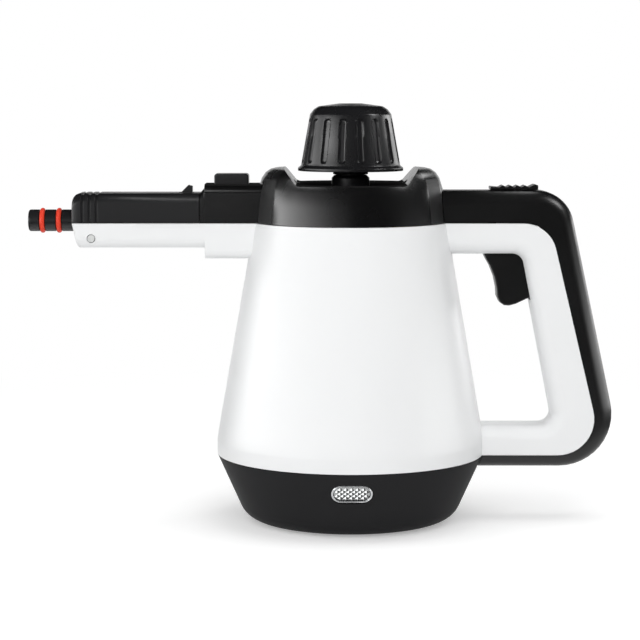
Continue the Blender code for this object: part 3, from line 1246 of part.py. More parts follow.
def cap_shell():
    """The fluted cap: a tapered skirt with a ring of rounded grooves, a flange and a domed crown."""
    flute_low = CAP_SKIRT_Z + FLUTE_FOOT
    flute_high = CAP_SHOULDER_Z - FLUTE_HEAD
    levels = [(CAP_BOTTOM_Z, CAP_FLANGE_RADIUS, 0), (CAP_FLANGE_TOP_Z, CAP_FLANGE_RADIUS, 0),
              (CAP_SKIRT_Z, CAP_SKIRT_RADIUS, 0)]
    for z, depth in ((flute_low, 0), (flute_low + FLUTE_END, FLUTE_DEPTH),
                     (flute_high - FLUTE_END, FLUTE_DEPTH),
                     (flute_high, 0), (CAP_SHOULDER_Z, 0)):
        levels.append((z, cap_inner_radius(z) + CAP_WALL, depth))
    levels += [(CAP_CHAMFER_Z, CAP_CHAMFER_RADIUS, 0), (CAP_EDGE_Z, CAP_EDGE_RADIUS, 0),
               (CAP_TOP_Z, CAP_CROWN_RADIUS, 0)]
    pitch = 2 * math.pi / FLUTE_COUNT
    rings = []
    for z, radius, depth in levels:
        ring = []
        for flute in range(FLUTE_COUNT):
            for place, cut_share in zip(FLUTE_PLACE_SHARES, FLUTE_DEPTH_SHARES):
                angle = pitch * (flute + 0.5 + place)
                reach = radius - depth * cut_share
                ring.append((reach * math.cos(angle), reach * math.sin(angle), z))
        rings.append(ring)
    cap = loft("cap_shell", rings)
    ceiling = CAP_CHAMFER_Z - CAP_WALL / 2
    hollow = lathe("hollow", (
        (0, CAP_BOTTOM_Z - OVERRUN), (CAP_SKIRT_RADIUS - CAP_WALL / 2, CAP_BOTTOM_Z - OVERRUN),
        (CAP_SKIRT_RADIUS - CAP_WALL / 2, CAP_FLANGE_TOP_Z), (cap_inner_radius(CAP_SKIRT_Z), CAP_SKIRT_Z),
        (cap_inner_radius(CAP_SHOULDER_Z), CAP_SHOULDER_Z), (CAP_EDGE_RADIUS - CAP_WALL, ceiling),
        (0, ceiling)),
        ROUND_FACETS)
    cut(cap, hollow)
    return cap


def cap_parts():
    """The safety cap: threaded plug and seal, relief valve, press spring, retainer and fluted shell."""
    seal_z = NECK_TOP_Z + FIT
    flange_z = seal_z + CAP_GASKET + FIT
    boss_z = flange_z + PLUG_FLANGE
    top_z = boss_z + PLUG_BOSS
    plug_radius = NECK_BORE - FIT
    bore = RELIEF_RADIUS + FIT
    plug = lathe("cap_plug", (
        (bore, NECK_TOP_Z - PLUG_DEPTH), (plug_radius, NECK_TOP_Z - PLUG_DEPTH), (plug_radius, flange_z),
        (PLUG_FLANGE_RADIUS, flange_z), (PLUG_FLANGE_RADIUS, boss_z), (PLUG_BOSS_RADIUS, boss_z),
        (PLUG_BOSS_RADIUS, top_z), (bore, top_z)), ROUND_FACETS)
    seal_inner = plug_radius + FIT
    seal = lathe("cap_seal", ((seal_inner, seal_z), (seal_inner + CAP_GASKET_WIDTH, seal_z),
                              (seal_inner + CAP_GASKET_WIDTH, seal_z + CAP_GASKET),
                              (seal_inner, seal_z + CAP_GASKET)),
                 ROUND_FACETS)
    head_z = top_z + FIT
    relief = lathe("relief_valve", (
        (0, head_z - RELIEF_DEPTH), (RELIEF_RADIUS, head_z - RELIEF_DEPTH), (RELIEF_RADIUS, head_z),
        (RELIEF_HEAD_RADIUS, head_z), (RELIEF_HEAD_RADIUS, head_z + RELIEF_HEAD),
        (0, head_z + RELIEF_HEAD)),
        SMALL_FACETS)
    wire = CAP_SPRING_WIRE
    spring_z = boss_z + FIT + wire
    spring = coil("cap_spring", (0, 0, spring_z), (0, 0, 1), CAP_SPRING_LENGTH - 2 * wire,
                  CAP_SPRING_TURNS,
                  PLUG_BOSS_RADIUS + FIT + wire, wire)
    retainer_z = boss_z + FIT + CAP_SPRING_LENGTH + FIT
    retainer_top = retainer_z + RETAINER_THICKNESS
    retainer = rod("cap_retainer", (0, 0, retainer_z), (0, 0, retainer_top),
                   cap_inner_radius(retainer_top) - FIT,
                   ROUND_FACETS)
    return [(plug, "black_satin"), (seal, "black_rubber"), (relief, "steel"), (spring, "steel"),
            (retainer, "black_satin"),
            (cap_shell(), "black_satin")]


def shell_screws():
    parts = []
    head_y = SHELL_SCREW_SINK_Y + FIT
    for number, (x, z) in enumerate(shell_screw_places(), 1):
        profile = ((0, 0), (SHELL_SCREW_RADIUS, 0), (SHELL_SCREW_RADIUS, head_y - SHELL_SCREW_TIP_Y),
                   (SHELL_SCREW_HEAD, head_y - SHELL_SCREW_TIP_Y),
                   (SHELL_SCREW_HEAD, head_y - SHELL_SCREW_TIP_Y + SHELL_SCREW_HEAD_LENGTH),
                   (0, head_y - SHELL_SCREW_TIP_Y + SHELL_SCREW_HEAD_LENGTH))
        screw = lathe(f"shell_screw_{number}", profile, SMALL_FACETS)
        screw.data.transform(Matrix.Rotation(-math.pi / 2, 4, "X"))
        screw.location = (x, SHELL_SCREW_TIP_Y, z)
        parts.append((screw, "steel"))
    return parts


def make_material(name):
    colour, roughness, metallic = MATERIALS[name]
    material = bpy.data.materials.new(name)
    material.use_nodes = True
    shader = material.node_tree.nodes["Principled BSDF"]
    shader.inputs["Base Color"].default_value = (*colour, 1.0)
    shader.inputs["Roughness"].default_value = roughness
    shader.inputs["Metallic"].default_value = metallic
    material.diffuse_color = (*colour, 1.0)
    return material


def set_origin(item, point):
    """Put a moving piece's origin on its joint without moving its shape."""
    item.data.transform(Matrix.Translation(item.location - Vector(point)))
    item.location = point


def main():
    clear_scene()
    parts = body_shells() + handle_spine() + top_housing() + nozzle_cover() + nozzle_parts()
    parts += trigger_parts() + lock_parts() + valve_parts() + latch_parts() + base_parts()
    parts += boiler_parts() + filler_neck() + cap_parts() + shell_screws()
    handle_reach = max(point.x for point in spine_path(0))
    datum = bpy.data.objects.new("datum", None)
    datum.location = ((NOZZLE_REACH - handle_reach) / 2, 0, 0)
    bpy.context.scene.collection.objects.link(datum)
    materials = {name: make_material(name) for name in MATERIALS}
    for item, material in parts:
        item.data.materials.clear()
        item.data.materials.append(materials[material])
        item.data.shade_smooth()
        item.data.set_sharp_from_angle(angle=SHARP_ANGLE)
        item.parent = datum
    joints = {"trigger": (TRIGGER_PIVOT_X, 0, TRIGGER_PIVOT_Z), "push_rod": (VALVE_END_X, 0, rod_z()),
              "lock_slider": (SLIDER_START_X, 0, SPINE_TOP_Z),
              "lock_bar": (SLIDER_START_X, 0, SPINE_TOP_Z),
              "latch_lever": (LATCH_PIVOT_X, 0, LATCH_PIVOT_Z)}
    for name, point in joints.items():
        set_origin(bpy.data.objects[name], point)


main()
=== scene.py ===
"""Looks of the handheld steam cleaner: its visible pieces in fine detail, their finishes and a studio."""

import json
import math

import bmesh
import bpy
from mathutils import Matrix, Vector


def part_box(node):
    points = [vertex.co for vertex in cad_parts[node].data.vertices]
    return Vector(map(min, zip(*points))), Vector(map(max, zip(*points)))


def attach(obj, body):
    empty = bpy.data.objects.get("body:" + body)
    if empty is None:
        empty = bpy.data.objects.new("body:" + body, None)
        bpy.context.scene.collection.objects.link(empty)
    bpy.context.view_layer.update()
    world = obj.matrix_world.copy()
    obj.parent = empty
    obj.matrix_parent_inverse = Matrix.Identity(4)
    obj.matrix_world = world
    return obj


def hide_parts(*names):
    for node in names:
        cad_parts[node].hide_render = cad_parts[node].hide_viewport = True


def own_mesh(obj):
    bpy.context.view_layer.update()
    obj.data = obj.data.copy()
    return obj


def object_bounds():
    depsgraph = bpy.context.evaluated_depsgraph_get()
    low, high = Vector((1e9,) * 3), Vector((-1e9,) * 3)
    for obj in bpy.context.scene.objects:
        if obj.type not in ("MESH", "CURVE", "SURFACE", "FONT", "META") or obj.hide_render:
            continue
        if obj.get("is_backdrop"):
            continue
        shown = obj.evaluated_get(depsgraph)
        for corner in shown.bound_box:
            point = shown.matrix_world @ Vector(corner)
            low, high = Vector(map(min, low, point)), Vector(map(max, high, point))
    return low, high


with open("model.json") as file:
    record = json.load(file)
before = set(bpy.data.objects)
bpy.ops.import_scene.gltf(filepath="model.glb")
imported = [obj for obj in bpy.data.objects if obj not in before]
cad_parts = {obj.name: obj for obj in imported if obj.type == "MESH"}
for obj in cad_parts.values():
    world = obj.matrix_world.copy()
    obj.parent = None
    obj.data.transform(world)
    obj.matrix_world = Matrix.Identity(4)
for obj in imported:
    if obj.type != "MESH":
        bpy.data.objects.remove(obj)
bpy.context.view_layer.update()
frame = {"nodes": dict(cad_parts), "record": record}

# Camera at the photograph's angle
CAMERA_SENSOR = 36.0
CAMERA_LENS = 115.9
CAMERA_PLACE = (-0.00037, -1.0992, 0.2262)
CAMERA_TILT = math.radians(90 - 6.15)
camera = bpy.data.objects.new("camera", bpy.data.cameras.new("camera"))
camera.data.sensor_width = CAMERA_SENSOR
camera.data.lens = CAMERA_LENS
camera.location = CAMERA_PLACE
camera.rotation_euler = (CAMERA_TILT, 0.0, 0.0)
bpy.context.scene.collection.objects.link(camera)
bpy.context.scene.camera = camera

# Shared fits
SEAM_GAP = 0.0003
FIT = 0.0003
WALL = 0.0024
OVERRUN = 0.003
MERGE_DISTANCE = 0.000002
FLAT_ANGLE = math.radians(0.1)
SHARP_ANGLE = math.radians(32)

# Facets of round pieces
BODY_FACETS = 144
ROUND_FACETS = 48
SMALL_FACETS = 24
RING_FACETS = 12
WIRE_FACETS = 8
ARC_STEPS = 12
CORNER_STEPS = 6
COIL_STEPS = 16
BEVEL_SEGMENTS = 2

# White body: a cone between the base seam and the collar seam
BASE_SEAM_Z = 0.0365
BODY_SEAM_Z = 0.1605
BODY_ROLL_Z = 0.0435
BODY_WAIST_Z = 0.0515
BODY_WAIST_RADIUS = 0.0704
BODY_FLARE = 0.0011
BODY_FOOT_RADIUS = BODY_WAIST_RADIUS + BODY_FLARE
BODY_SHOULDER_Z = 0.140
BODY_SHOULDER_RADIUS = 0.0548
BODY_TOP_RADIUS = 0.0516

# Black base bowl
BASE_BOTTOM_Z = 0.001
BASE_EDGE_RADIUS = 0.0556
BASE_FILLET = 0.013
FOOT_COUNT = 4
FOOT_RADIUS = 0.007
FOOT_CIRCLE_RADIUS = 0.036
FOOT_SEAT = 0.0012
FOOT_ANGLE = math.radians(45)
POST_COUNT = 4
POST_CIRCLE_RADIUS = 0.041
POST_RADIUS = 0.004
SCREW_RADIUS = 0.0015
SCREW_HEAD_RADIUS = 0.003
SCREW_HEAD = 0.0018
SCREW_SINK = 0.0022
SCREW_BITE = 0.003

# Pilot lamp in the base's front
LAMP_Z = 0.0252
LAMP_LENGTH = 0.0214
LAMP_HEIGHT = 0.0106
LAMP_RIM = 0.0012
LAMP_SINK = 0.0006
LAMP_DEPTH = 0.0026
LENS_SINK = 0.0005
LENS_CROWN = 0.0007
WINDOW_LENGTH = LAMP_LENGTH - 2 * LAMP_RIM
WINDOW_HEIGHT = LAMP_HEIGHT - 2 * LAMP_RIM
LENS_EDGE_Z = -LAMP_SINK - LENS_SINK

# Cord inlet in the base's back
GLAND_Z = 0.020
GLAND_RADIUS = 0.0062
GLAND_LIP = 0.0078
GLAND_PROUD = 0.0018
GLAND_BORE = 0.0034

# Black collar round the filler
COLLAR_RADIUS = 0.0515
COLLAR_TOP_Z = 0.1894
CHEEK_INNER = math.radians(17)
CHEEK_OUTER = math.radians(35.4)
COLLAR_ARC_STEPS = 48
LIP_Z = 0.1808
LIP_HALF_WIDTH = 0.0285
EAR_INNER_X = 0.035
LIP_FILLET = 0.004
DISH_RADIUS = 0.0305
DISH_DEPTH = 0.0014
NECK_HOLE_RADIUS = 0.0126

# Shroud and nozzle barrel. The barrel's front end is set back from the solids' towards the photograph's.
BARREL_HALF_WIDTH = 0.014
BARREL_EDGE = 0.005
SHROUD_END_X = -0.0797
SHROUD_TOP_Z = 0.181
SHROUD_CHAMFER = 0.0022
SHROUD_STEP_Z = 0.1763
LOWER_SHROUD_X = -0.0771
LOWER_SHROUD_Z = 0.1416
NOZZLE_REACH = 0.1715
TIP_LENGTH = 0.0223
BARREL_SET_BACK = 0.0018
BARREL_FRONT_X = TIP_LENGTH - NOZZLE_REACH + BARREL_SET_BACK
BARREL_TOP_Z = 0.1762
BARREL_BOTTOM_Z = 0.1474
BARREL_RAKE = 0.003
BARREL_NOSE = 0.0048
NOSE_ROUND = 0.0015
GROOVE_COUNT = 3
GROOVE_SETBACK = 0.0059
GROOVE_PITCH = 0.0037
GROOVE_WIDTH = 0.0014
GROOVE_DEPTH = 0.0008
RAIL_SETBACK = 0.0342
RAIL_Z = 0.1575
RAIL_DEPTH = 0.0006

# Nozzle tip, its seals, its jet and the locating pin
NOZZLE_Z = 0.1613
TIP_RADIUS = 0.0058
TIP_ROUND = 0.0014
TIP_BORE = 0.0025
TIP_FLANGE_RADIUS = 0.0085
TIP_FLANGE = 0.0025
TIP_TAIL = 0.0282
FRONT_RING_SETBACK = 0.0074
REAR_RING_SETBACK = 0.0162
RING_RADIUS = 0.0067
RING_THICK = 0.0027
JET_RADIUS = 0.0022
JET_BORE = 0.0007
JET_LENGTH = 0.007
PIN_SETBACK = 0.0103
PIN_Z = 0.1524
PIN_RADIUS = 0.002

# Handle, and the outlines of its opening, of the white plastic and of its outer side: the ends of the
# raked grip line as x and z above and x and z below, and the fillets there
HANDLE_START_X = 0.040
HANDLE_HALF_WIDTH = 0.014
HANDLE_ROUND = 0.008
HOLE_TOP_Z = 0.1439
HOLE_BOTTOM_Z = 0.0522
SPINE_TOP_Z = 0.1775
HOLE_LINE = (0.0906, HOLE_TOP_Z, 0.1089, HOLE_BOTTOM_Z, (0.006, 0.006))
WHITE_LINE = (0.1052, BODY_SEAM_Z, 0.1352, BASE_SEAM_Z, (0.018, 0.0195))
SPINE_LINE = (0.1147, SPINE_TOP_Z, 0.1467, 0.0298, (0.020, 0.028))

# Trigger, and what its pin and its spring need of the shells
TRIGGER_PIVOT_X = 0.0755
TRIGGER_PIVOT_Z = 0.1500
TRIGGER_HALF_WIDTH = 0.007
TRIGGER_HUB = 0.0045
TRIGGER_EDGE = 0.0012
TRIGGER_ARM = 0.0085
TRIGGER_ARM_RADIUS = 0.0022
TRIGGER_ARM_HALF_WIDTH = 0.003
TRIGGER_REACH = 0.0339
TRIGGER_DEPTH = 0.0245
TRIGGER_SLOT_X = 0.0692
TRIGGER_SLOT_Z = 0.1192
TRIGGER_SLOT_DEPTH = 0.030
TRIGGER_PIN_RADIUS = 0.0018
TRIGGER_SPRING_WIRE = 0.0003
TRIGGER_SPRING_TURNS = 2
PIN_BOSS_RADIUS = 0.0024

# Lock slider on the handle's top
SLIDER_START_X = 0.0741
SLIDER_END_X = 0.0994
SLIDER_HALF_WIDTH = 0.0065
SLIDER_TOP_Z = 0.1795
SLIDER_PEAK = 0.0007
SLIDER_VALLEY = 0.0004
SLIDER_TOE = 0.0011
SLIDER_TOE_LENGTH = 0.0018
SLIDER_TOOTH_COUNT = 4
SLIDER_TOOTH_PITCH = 0.0039
SLIDER_FIRST_TOOTH = 0.0067
SLIDER_TRAVEL = 0.006
STEM_HALF_WIDTH = 0.0022
STEM_LENGTH = 0.006
STEM_SETBACK = 0.006

# Latch lever in the shroud
LATCH_PIVOT_X = -0.0505
LATCH_PIVOT_Z = 0.171
LATCH_HUB = 0.0032
LATCH_PIN_RADIUS = 0.0015
LATCH_HALF_WIDTH = 0.005
LATCH_THICKNESS = 0.003
LATCH_SWING = math.radians(5)
BUTTON_START_X = -0.0723
BUTTON_END_X = -0.0541
BUTTON_TOP_Z = 0.1863
BUTTON_HALF_WIDTH = 0.007
BUTTON_ROUND = 0.0015
BUTTON_EDGE = 0.0008
WEDGE_START_X = -0.0909
WEDGE_PEAK_X = -0.0863
WEDGE_END_X = -0.0841
WEDGE_PEAK_Z = 0.1802
WEDGE_HALF_WIDTH = 0.0025
SLOT_CLEARANCE = 0.0006

# Hidden boiler, under the steam valve: the base's posts and the neck end on it
VALVE_DROP = 0.0112
BOILER_BOTTOM_Z = 0.046
BOILER_TOP_Z = TRIGGER_PIVOT_Z + TRIGGER_ARM - VALVE_DROP - FIT

# Filler neck and safety cap
NECK_BORE = 0.0075
NECK_RADIUS = 0.0101
NECK_FLANGE_RADIUS = 0.015
NECK_FLANGE = 0.0022
NECK_TOP_Z = 0.1856
NECK_BEVEL = 0.0016
PLUG_BOSS_RADIUS = 0.006
CAP_SPRING_WIRE = 0.0006
CAP_SPRING_TURNS = 5
CAP_BOTTOM_Z = 0.1878
CAP_FLANGE_TOP_Z = 0.1894
CAP_SKIRT_Z = 0.1907
CAP_SHOULDER_Z = 0.2177
CAP_CHAMFER_Z = 0.2203
CAP_EDGE_Z = 0.2219
CAP_TOP_Z = 0.2234
CAP_FLANGE_RADIUS = 0.028
CAP_SKIRT_RADIUS = 0.0264
CAP_SHOULDER_RADIUS = 0.0216
CAP_CHAMFER_RADIUS = 0.0196
CAP_EDGE_RADIUS = 0.017
CAP_CROWN_RADIUS = 0.006
CAP_WALL = 0.0027
FLUTE_COUNT = 16
FLUTE_DEPTH = 0.0013
FLUTE_FOOT = 0.0012
FLUTE_HEAD = 0.0022

# Shell screws, driven from the hidden side, and each one's x and z
SHELL_BOSS_RADIUS = 0.0036
SHELL_SCREW_RADIUS = 0.0013
SHELL_SCREW_HEAD = 0.0027
SHELL_SCREW_HEAD_LENGTH = 0.002
SHELL_SCREW_SINK_Y = 0.007
SHELL_SCREW_TIP_Y = -0.009
SHELL_SCREW_PLACES = (
    (0.062, HOLE_TOP_Z + 0.0071), (0.1115, 0.090), (0.092, HOLE_BOTTOM_Z - 0.0078),
    (BARREL_FRONT_X + 0.0372, BARREL_BOTTOM_Z + 0.0064))

# The collar's outline over its seam, as shares of its height and of its radius at the seam
COLLAR_LEVEL_SHARES = (
    (0.329, 0.977), (0.606, 0.955), (0.813, 0.918), (0.917, 0.878), (0.979, 0.827), (1.0, 0.777))

# The trigger's outline from its pivot, as shares of its depth and reach
TRIGGER_OUTLINE_SHARES = (
    (-0.20, -0.177), (-0.131, -0.280), (-0.053, -0.375), (0.041, -0.546), (0.094, -0.723), (0.106, -0.855),
    (0.159, -0.944), (0.257, -0.994), (0.367, -1.0), (0.510, -0.973), (0.776, -0.882), (0.898, -0.841),
    (0.918, -0.767), (0.796, -0.354), (0.612, -0.118), (0.367, 0.015), (0.0, 0.10), (-0.15, 0.05))


def object_from(name, bm, solid=True):
    """Make an object from a bmesh. The faces of a solid are made flat and turned outwards."""
    if solid:
        bmesh.ops.connect_verts_nonplanar(bm, angle_limit=FLAT_ANGLE, faces=bm.faces)
        bmesh.ops.recalc_face_normals(bm, faces=bm.faces)
    mesh = bpy.data.meshes.new(name)
    bm.to_mesh(mesh)
    bm.free()
    item = bpy.data.objects.new(name, mesh)
    bpy.context.scene.collection.objects.link(item)
    return item


def loft(name, rings):
    """Skin equal rings of points in order and close both ends."""
    bm = bmesh.new()
    rows = [[bm.verts.new(point) for point in ring] for ring in rings]
    count = len(rows[0])
    for low, high in zip(rows, rows[1:]):
        for index in range(count):
            after = (index + 1) % count
            bm.faces.new((low[index], low[after], high[after], high[index]))
    bm.faces.new(rows[0])
    bm.faces.new(rows[-1])
    return object_from(name, bm)


def lathe(name, profile, facets=ROUND_FACETS):
    """Turn (radius, z) points round Z. A profile may start and end on the axis or be a closed loop."""
    bm = bmesh.new()
    rows = []
    for radius, height in profile:
        if radius == 0:
            rows.append([bm.verts.new((0, 0, height))])
            continue
        turn = 2 * math.pi / facets
        rows.append([bm.verts.new((radius * math.cos(k * turn), radius * math.sin(k * turn), height))
                     for k in range(facets)])
    pairs = list(zip(rows, rows[1:]))
    if profile[0][0] != 0:
        pairs.append((rows[-1], rows[0]))
    for low, high in pairs:
        for k in range(facets):
            after = (k + 1) % facets
            corners = [low[k % len(low)], low[after % len(low)], high[after % len(high)],
                       high[k % len(high)]]
            bm.faces.new(list(dict.fromkeys(corners)))
    return object_from(name, bm)


def prism(name, outline, start_y, end_y):
    """Extrude an (x, z) outline along Y."""
    return loft(name, [[(x, y, z) for x, z in outline] for y in (start_y, end_y)])


def box(name, low, high):
    outline = ((low[0], low[2]), (high[0], low[2]), (high[0], high[2]), (low[0], high[2]))
    return prism(name, outline, low[1], high[1])


def roof_slot(name, start_x, end_x, half_width, roof_z):
    """A slot through a wall's flat top, larger by the clearance than what moves in it."""
    gap = SLOT_CLEARANCE
    return box(name, (start_x - gap, -half_width - gap, roof_z - WALL - OVERRUN),
               (end_x + gap, half_width + gap, roof_z + OVERRUN))


def rod(name, start, end, radius, facets=SMALL_FACETS):
    """A plain cylinder between two points."""
    start = Vector(start)
    along = Vector(end) - start
    item = lathe(name, ((0, 0), (radius, 0), (radius, along.length), (0, along.length)), facets)
    item.data.transform(Matrix.Translation(start) @ along.to_track_quat("Z", "Y").to_matrix().to_4x4())
    return item


def cross_rod(name, x, z, half_length, radius):
    """A cylinder along Y that reaches equally far to both sides."""
    return rod(name, (x, -half_length, z), (x, half_length, z), radius)


def lay_along_x(item, start_x, height):
    """Turn an object drawn along +Z so that it runs along +X from start_x."""
    item.data.transform(Matrix.Translation((start_x, 0, height)) @ Matrix.Rotation(math.pi / 2, 4, "Y"))
    return item


def sweep(name, points, radius):
    """Carry a circle along a path. Every corner is mitred, so that each face is flat."""
    points = [Vector(point) for point in points]
    turn = 2 * math.pi / WIRE_FACETS
    ahead = (points[1] - points[0]).normalized()
    side = ahead.orthogonal().normalized()
    across = ahead.cross(side)
    rings = [[points[0] + (side * math.cos(k * turn) + across * math.sin(k * turn)) * radius
              for k in range(WIRE_FACETS)]]
    for index, point in enumerate(points[1:], 1):
        along = (point - points[index - 1]).normalized()
        beyond = (points[index + 1] - point).normalized() if index + 1 < len(points) else along
        mitre = (along + beyond).normalized()
        rings.append([place + along * ((point - place).dot(mitre) / along.dot(mitre)) for place in rings[-1]])
    return loft(name, rings)


def coil(name, foot_z, length, turns, radius, wire):
    """A helical spring round Z. No chord of the helix comes closer to the axis than the radius."""
    steps = turns * COIL_STEPS
    reach = radius / math.cos(math.pi / COIL_STEPS)
    points = []
    for step in range(steps + 1):
        angle = 2 * math.pi * turns * step / steps
        points.append((-reach * math.cos(angle), -reach * math.sin(angle), foot_z + length * step / steps))
    return sweep(name, points, wire)


def bake(item):
    """Replace an object's mesh by what its modifiers make of it, without slivers."""
    depsgraph = bpy.context.evaluated_depsgraph_get()
    shaped = bpy.data.meshes.new_from_object(item.evaluated_get(depsgraph), depsgraph=depsgraph)
    bm = bmesh.new()
    bm.from_mesh(shaped)
    bmesh.ops.remove_doubles(bm, verts=bm.verts, dist=MERGE_DISTANCE)
    bm.to_mesh(shaped)
    bm.free()
    plain = item.data
    item.modifiers.clear()
    item.data = shaped
    bpy.data.meshes.remove(plain)


def combine(target, tools, operation):
    """Join, cut or intersect the target with all the tools at once, and remove the tools."""
    group = bpy.data.collections.new("tools")
    bpy.context.scene.collection.children.link(group)
    for tool in tools:
        group.objects.link(tool)
    modifier = target.modifiers.new("combine", "BOOLEAN")
    modifier.operation = operation
    modifier.solver = "EXACT"
    modifier.operand_type = "COLLECTION"
    modifier.collection = group
    bake(target)
    for tool in tools:
        bpy.data.objects.remove(tool, do_unlink=True)
    bpy.data.collections.remove(group)
    return target


def join(target, *tools):
    return combine(target, tools, "UNION")


def cut(target, *tools):
    return combine(target, tools, "DIFFERENCE")


def round_edges(item, width, segments):
    modifier = item.modifiers.new("soft edges", "BEVEL")
    modifier.width = width
    modifier.segments = segments
    modifier.limit_method = "ANGLE"
    modifier.angle_limit = SHARP_ANGLE


def bevel(item, width):
    round_edges(item, width, BEVEL_SEGMENTS)
    bake(item)
    return item


def copy_of(item, name):
    twin = bpy.data.objects.new(name, item.data.copy())
    bpy.context.scene.collection.objects.link(twin)
    return twin


def rounded_path(corners, fillets, offset=0.0):
    """Points along a polyline with an arc in each inner corner.

    The line turns right at every corner. A positive offset moves it to its left, the outer side.
    """
    corners = [Vector(corner) for corner in corners]
    lines = []
    for start, end in zip(corners, corners[1:]):
        along = (end - start).normalized()
        outward = Vector((-along.y, along.x))
        lines.append((start + outward * offset, along, outward))
    points = [lines[0][0]]
    for line, next_line, fillet in zip(lines, lines[1:], fillets):
        point, along, outward = line
        next_point, next_along, next_outward = next_line
        radius = fillet + offset
        reach = (next_point - point).dot(next_outward) / along.dot(next_outward)
        corner = point + along * reach
        turn = along.angle(next_along)
        start = corner - along * radius * math.tan(turn / 2)
        centre = start - outward * radius
        for step in range(ARC_STEPS + 1):
            angle = -turn * step / ARC_STEPS
            spoke = Vector((outward.x * math.cos(angle) - outward.y * math.sin(angle),
                            outward.x * math.sin(angle) + outward.y * math.cos(angle)))
            points.append(centre + spoke * radius)
    points.append(corners[-1] + lines[-1][2] * offset)
    return points


def rounded_section(low, high, half_width, low_round, high_round):
    """A closed outline of (across, along) points whose low and high corners have their own radii."""
    points = []
    for along, side, radius, first_quarter in ((high, 1, high_round, 0), (high, -1, high_round, 1),
                                               (low, -1, low_round, 2), (low, 1, low_round, 3)):
        if radius == 0:
            points.append((side * half_width, along))
            continue
        inward = radius if along == low else -radius
        for step in range(CORNER_STEPS + 1):
            angle = math.pi / 2 * (first_quarter + step / CORNER_STEPS)
            points.append((side * (half_width - radius) + radius * math.cos(angle),
                           along + inward + radius * math.sin(angle)))
    return points


def stadium(length, height):
    """A closed slot outline, round at both ends, about the origin."""
    radius = height / 2
    points = []
    for side in (1, -1):
        for step in range(2 * CORNER_STEPS + 1):
            angle = math.pi / 2 * (step / CORNER_STEPS - side)
            points.append((side * (length / 2 - radius) + radius * math.cos(angle),
                           radius * math.sin(angle)))
    return points


def slab(name, outline, low, high):
    """Extrude an (x, y) outline along Z."""
    return loft(name, [[(x, y, z) for x, y in outline] for z in (low, high)])


def curve_between(start, control, end, steps):
    """Points of a quadratic curve, without its first point."""
    points = []
    for step in range(1, steps + 1):
        share = step / steps
        points.append(tuple((1 - share) ** 2 * a + 2 * share * (1 - share) * b + share ** 2 * c
                            for a, b, c in zip(start, control, end)))
    return points


def body_profile(inset, low_z, high_z):
    """The cone's outline from foot to top, moved inwards and cut off at two heights."""
    foot = (BODY_FOOT_RADIUS, BODY_ROLL_Z)
    waist = (BODY_WAIST_RADIUS, BODY_WAIST_Z)
    slope = (BODY_SHOULDER_RADIUS - BODY_WAIST_RADIUS) / (BODY_SHOULDER_Z - BODY_WAIST_Z)
    knee = (BODY_FOOT_RADIUS, BODY_WAIST_Z + (BODY_FOOT_RADIUS - BODY_WAIST_RADIUS) / slope)
    outline = [(BODY_FOOT_RADIUS, low_z), foot]
    outline += curve_between(foot, knee, waist, CORNER_STEPS)
    outline += [(BODY_SHOULDER_RADIUS, BODY_SHOULDER_Z), (BODY_TOP_RADIUS, high_z)]
    return [(0, low_z)] + [(radius - inset, z) for radius, z in outline] + [(0, high_z)]


def body_cone(inset, overrun):
    return lathe("cone", body_profile(inset, BASE_SEAM_Z - overrun, BODY_SEAM_Z + overrun), BODY_FACETS)


def base_profile(offset, top_z):
    """The base bowl's outline from the axis out and up, moved outwards by offset."""
    rim_slope = (BODY_FOOT_RADIUS - BASE_EDGE_RADIUS) / (BASE_SEAM_Z - BASE_BOTTOM_Z)
    corners = ((BODY_FOOT_RADIUS + rim_slope * (top_z - BASE_SEAM_Z), top_z),
               (BASE_EDGE_RADIUS, BASE_BOTTOM_Z),
               (0, BASE_BOTTOM_Z))
    path = rounded_path(corners, (BASE_FILLET,), offset)
    return [(max(radius, 0), z) for radius, z in reversed(path)] + [(0, path[0].y)]


def base_bowl(offset, top_z):
    return lathe("bowl", base_profile(offset, top_z), BODY_FACETS)


def base_wall_frame(height, side):
    """A frame on the base's sloping wall: X level, Y up the wall, Z outwards. side is -1 in front."""
    rise = BASE_SEAM_Z - BASE_BOTTOM_Z
    spread = BODY_FOOT_RADIUS - BASE_EDGE_RADIUS
    lean = math.atan2(spread, rise)
    radius = BASE_EDGE_RADIUS + spread * (height - BASE_BOTTOM_Z) / rise
    level = Vector((-side, 0, 0))
    up = Vector((0, side * math.sin(lean), math.cos(lean)))
    turn = Matrix((level, up, level.cross(up))).transposed().to_4x4()
    return Matrix.Translation((0, side * radius, height)) @ turn


def handle_path(line, offset, start_x=HANDLE_START_X):
    """One of the handle's outlines, moved outwards by offset."""
    top_x, top_z, bottom_x, bottom_z, fillets = line
    corners = ((start_x, top_z), (top_x, top_z), (bottom_x, bottom_z), (start_x, bottom_z))
    return rounded_path(corners, fillets, offset)


def handle_solid(inset):
    """The whole handle between its hole and its outer outline, every face moved inwards by inset."""
    rings = []
    for inner, outer in zip(handle_path(HOLE_LINE, inset), handle_path(SPINE_LINE, -inset)):
        along = outer - inner
        section = rounded_section(0, along.length, HANDLE_HALF_WIDTH - inset, HANDLE_ROUND - inset,
                                  HANDLE_ROUND - inset)
        along.normalize()
        rings.append([(inner.x + along.x * reach, across, inner.y + along.y * reach)
                      for across, reach in section])
    return loft("handle", rings)


def white_zone(offset):
    """Everything inside the line where the white plastic meets the black."""
    outline = handle_path(WHITE_LINE, offset, -NOZZLE_REACH)
    return prism("zone", outline, -BODY_FOOT_RADIUS * 2, BODY_FOOT_RADIUS * 2)


def ring_at(x, *section):
    """A rounded section, given by its sizes, as a ring that faces along X."""
    return [(x, y, z) for y, z in rounded_section(*section)]


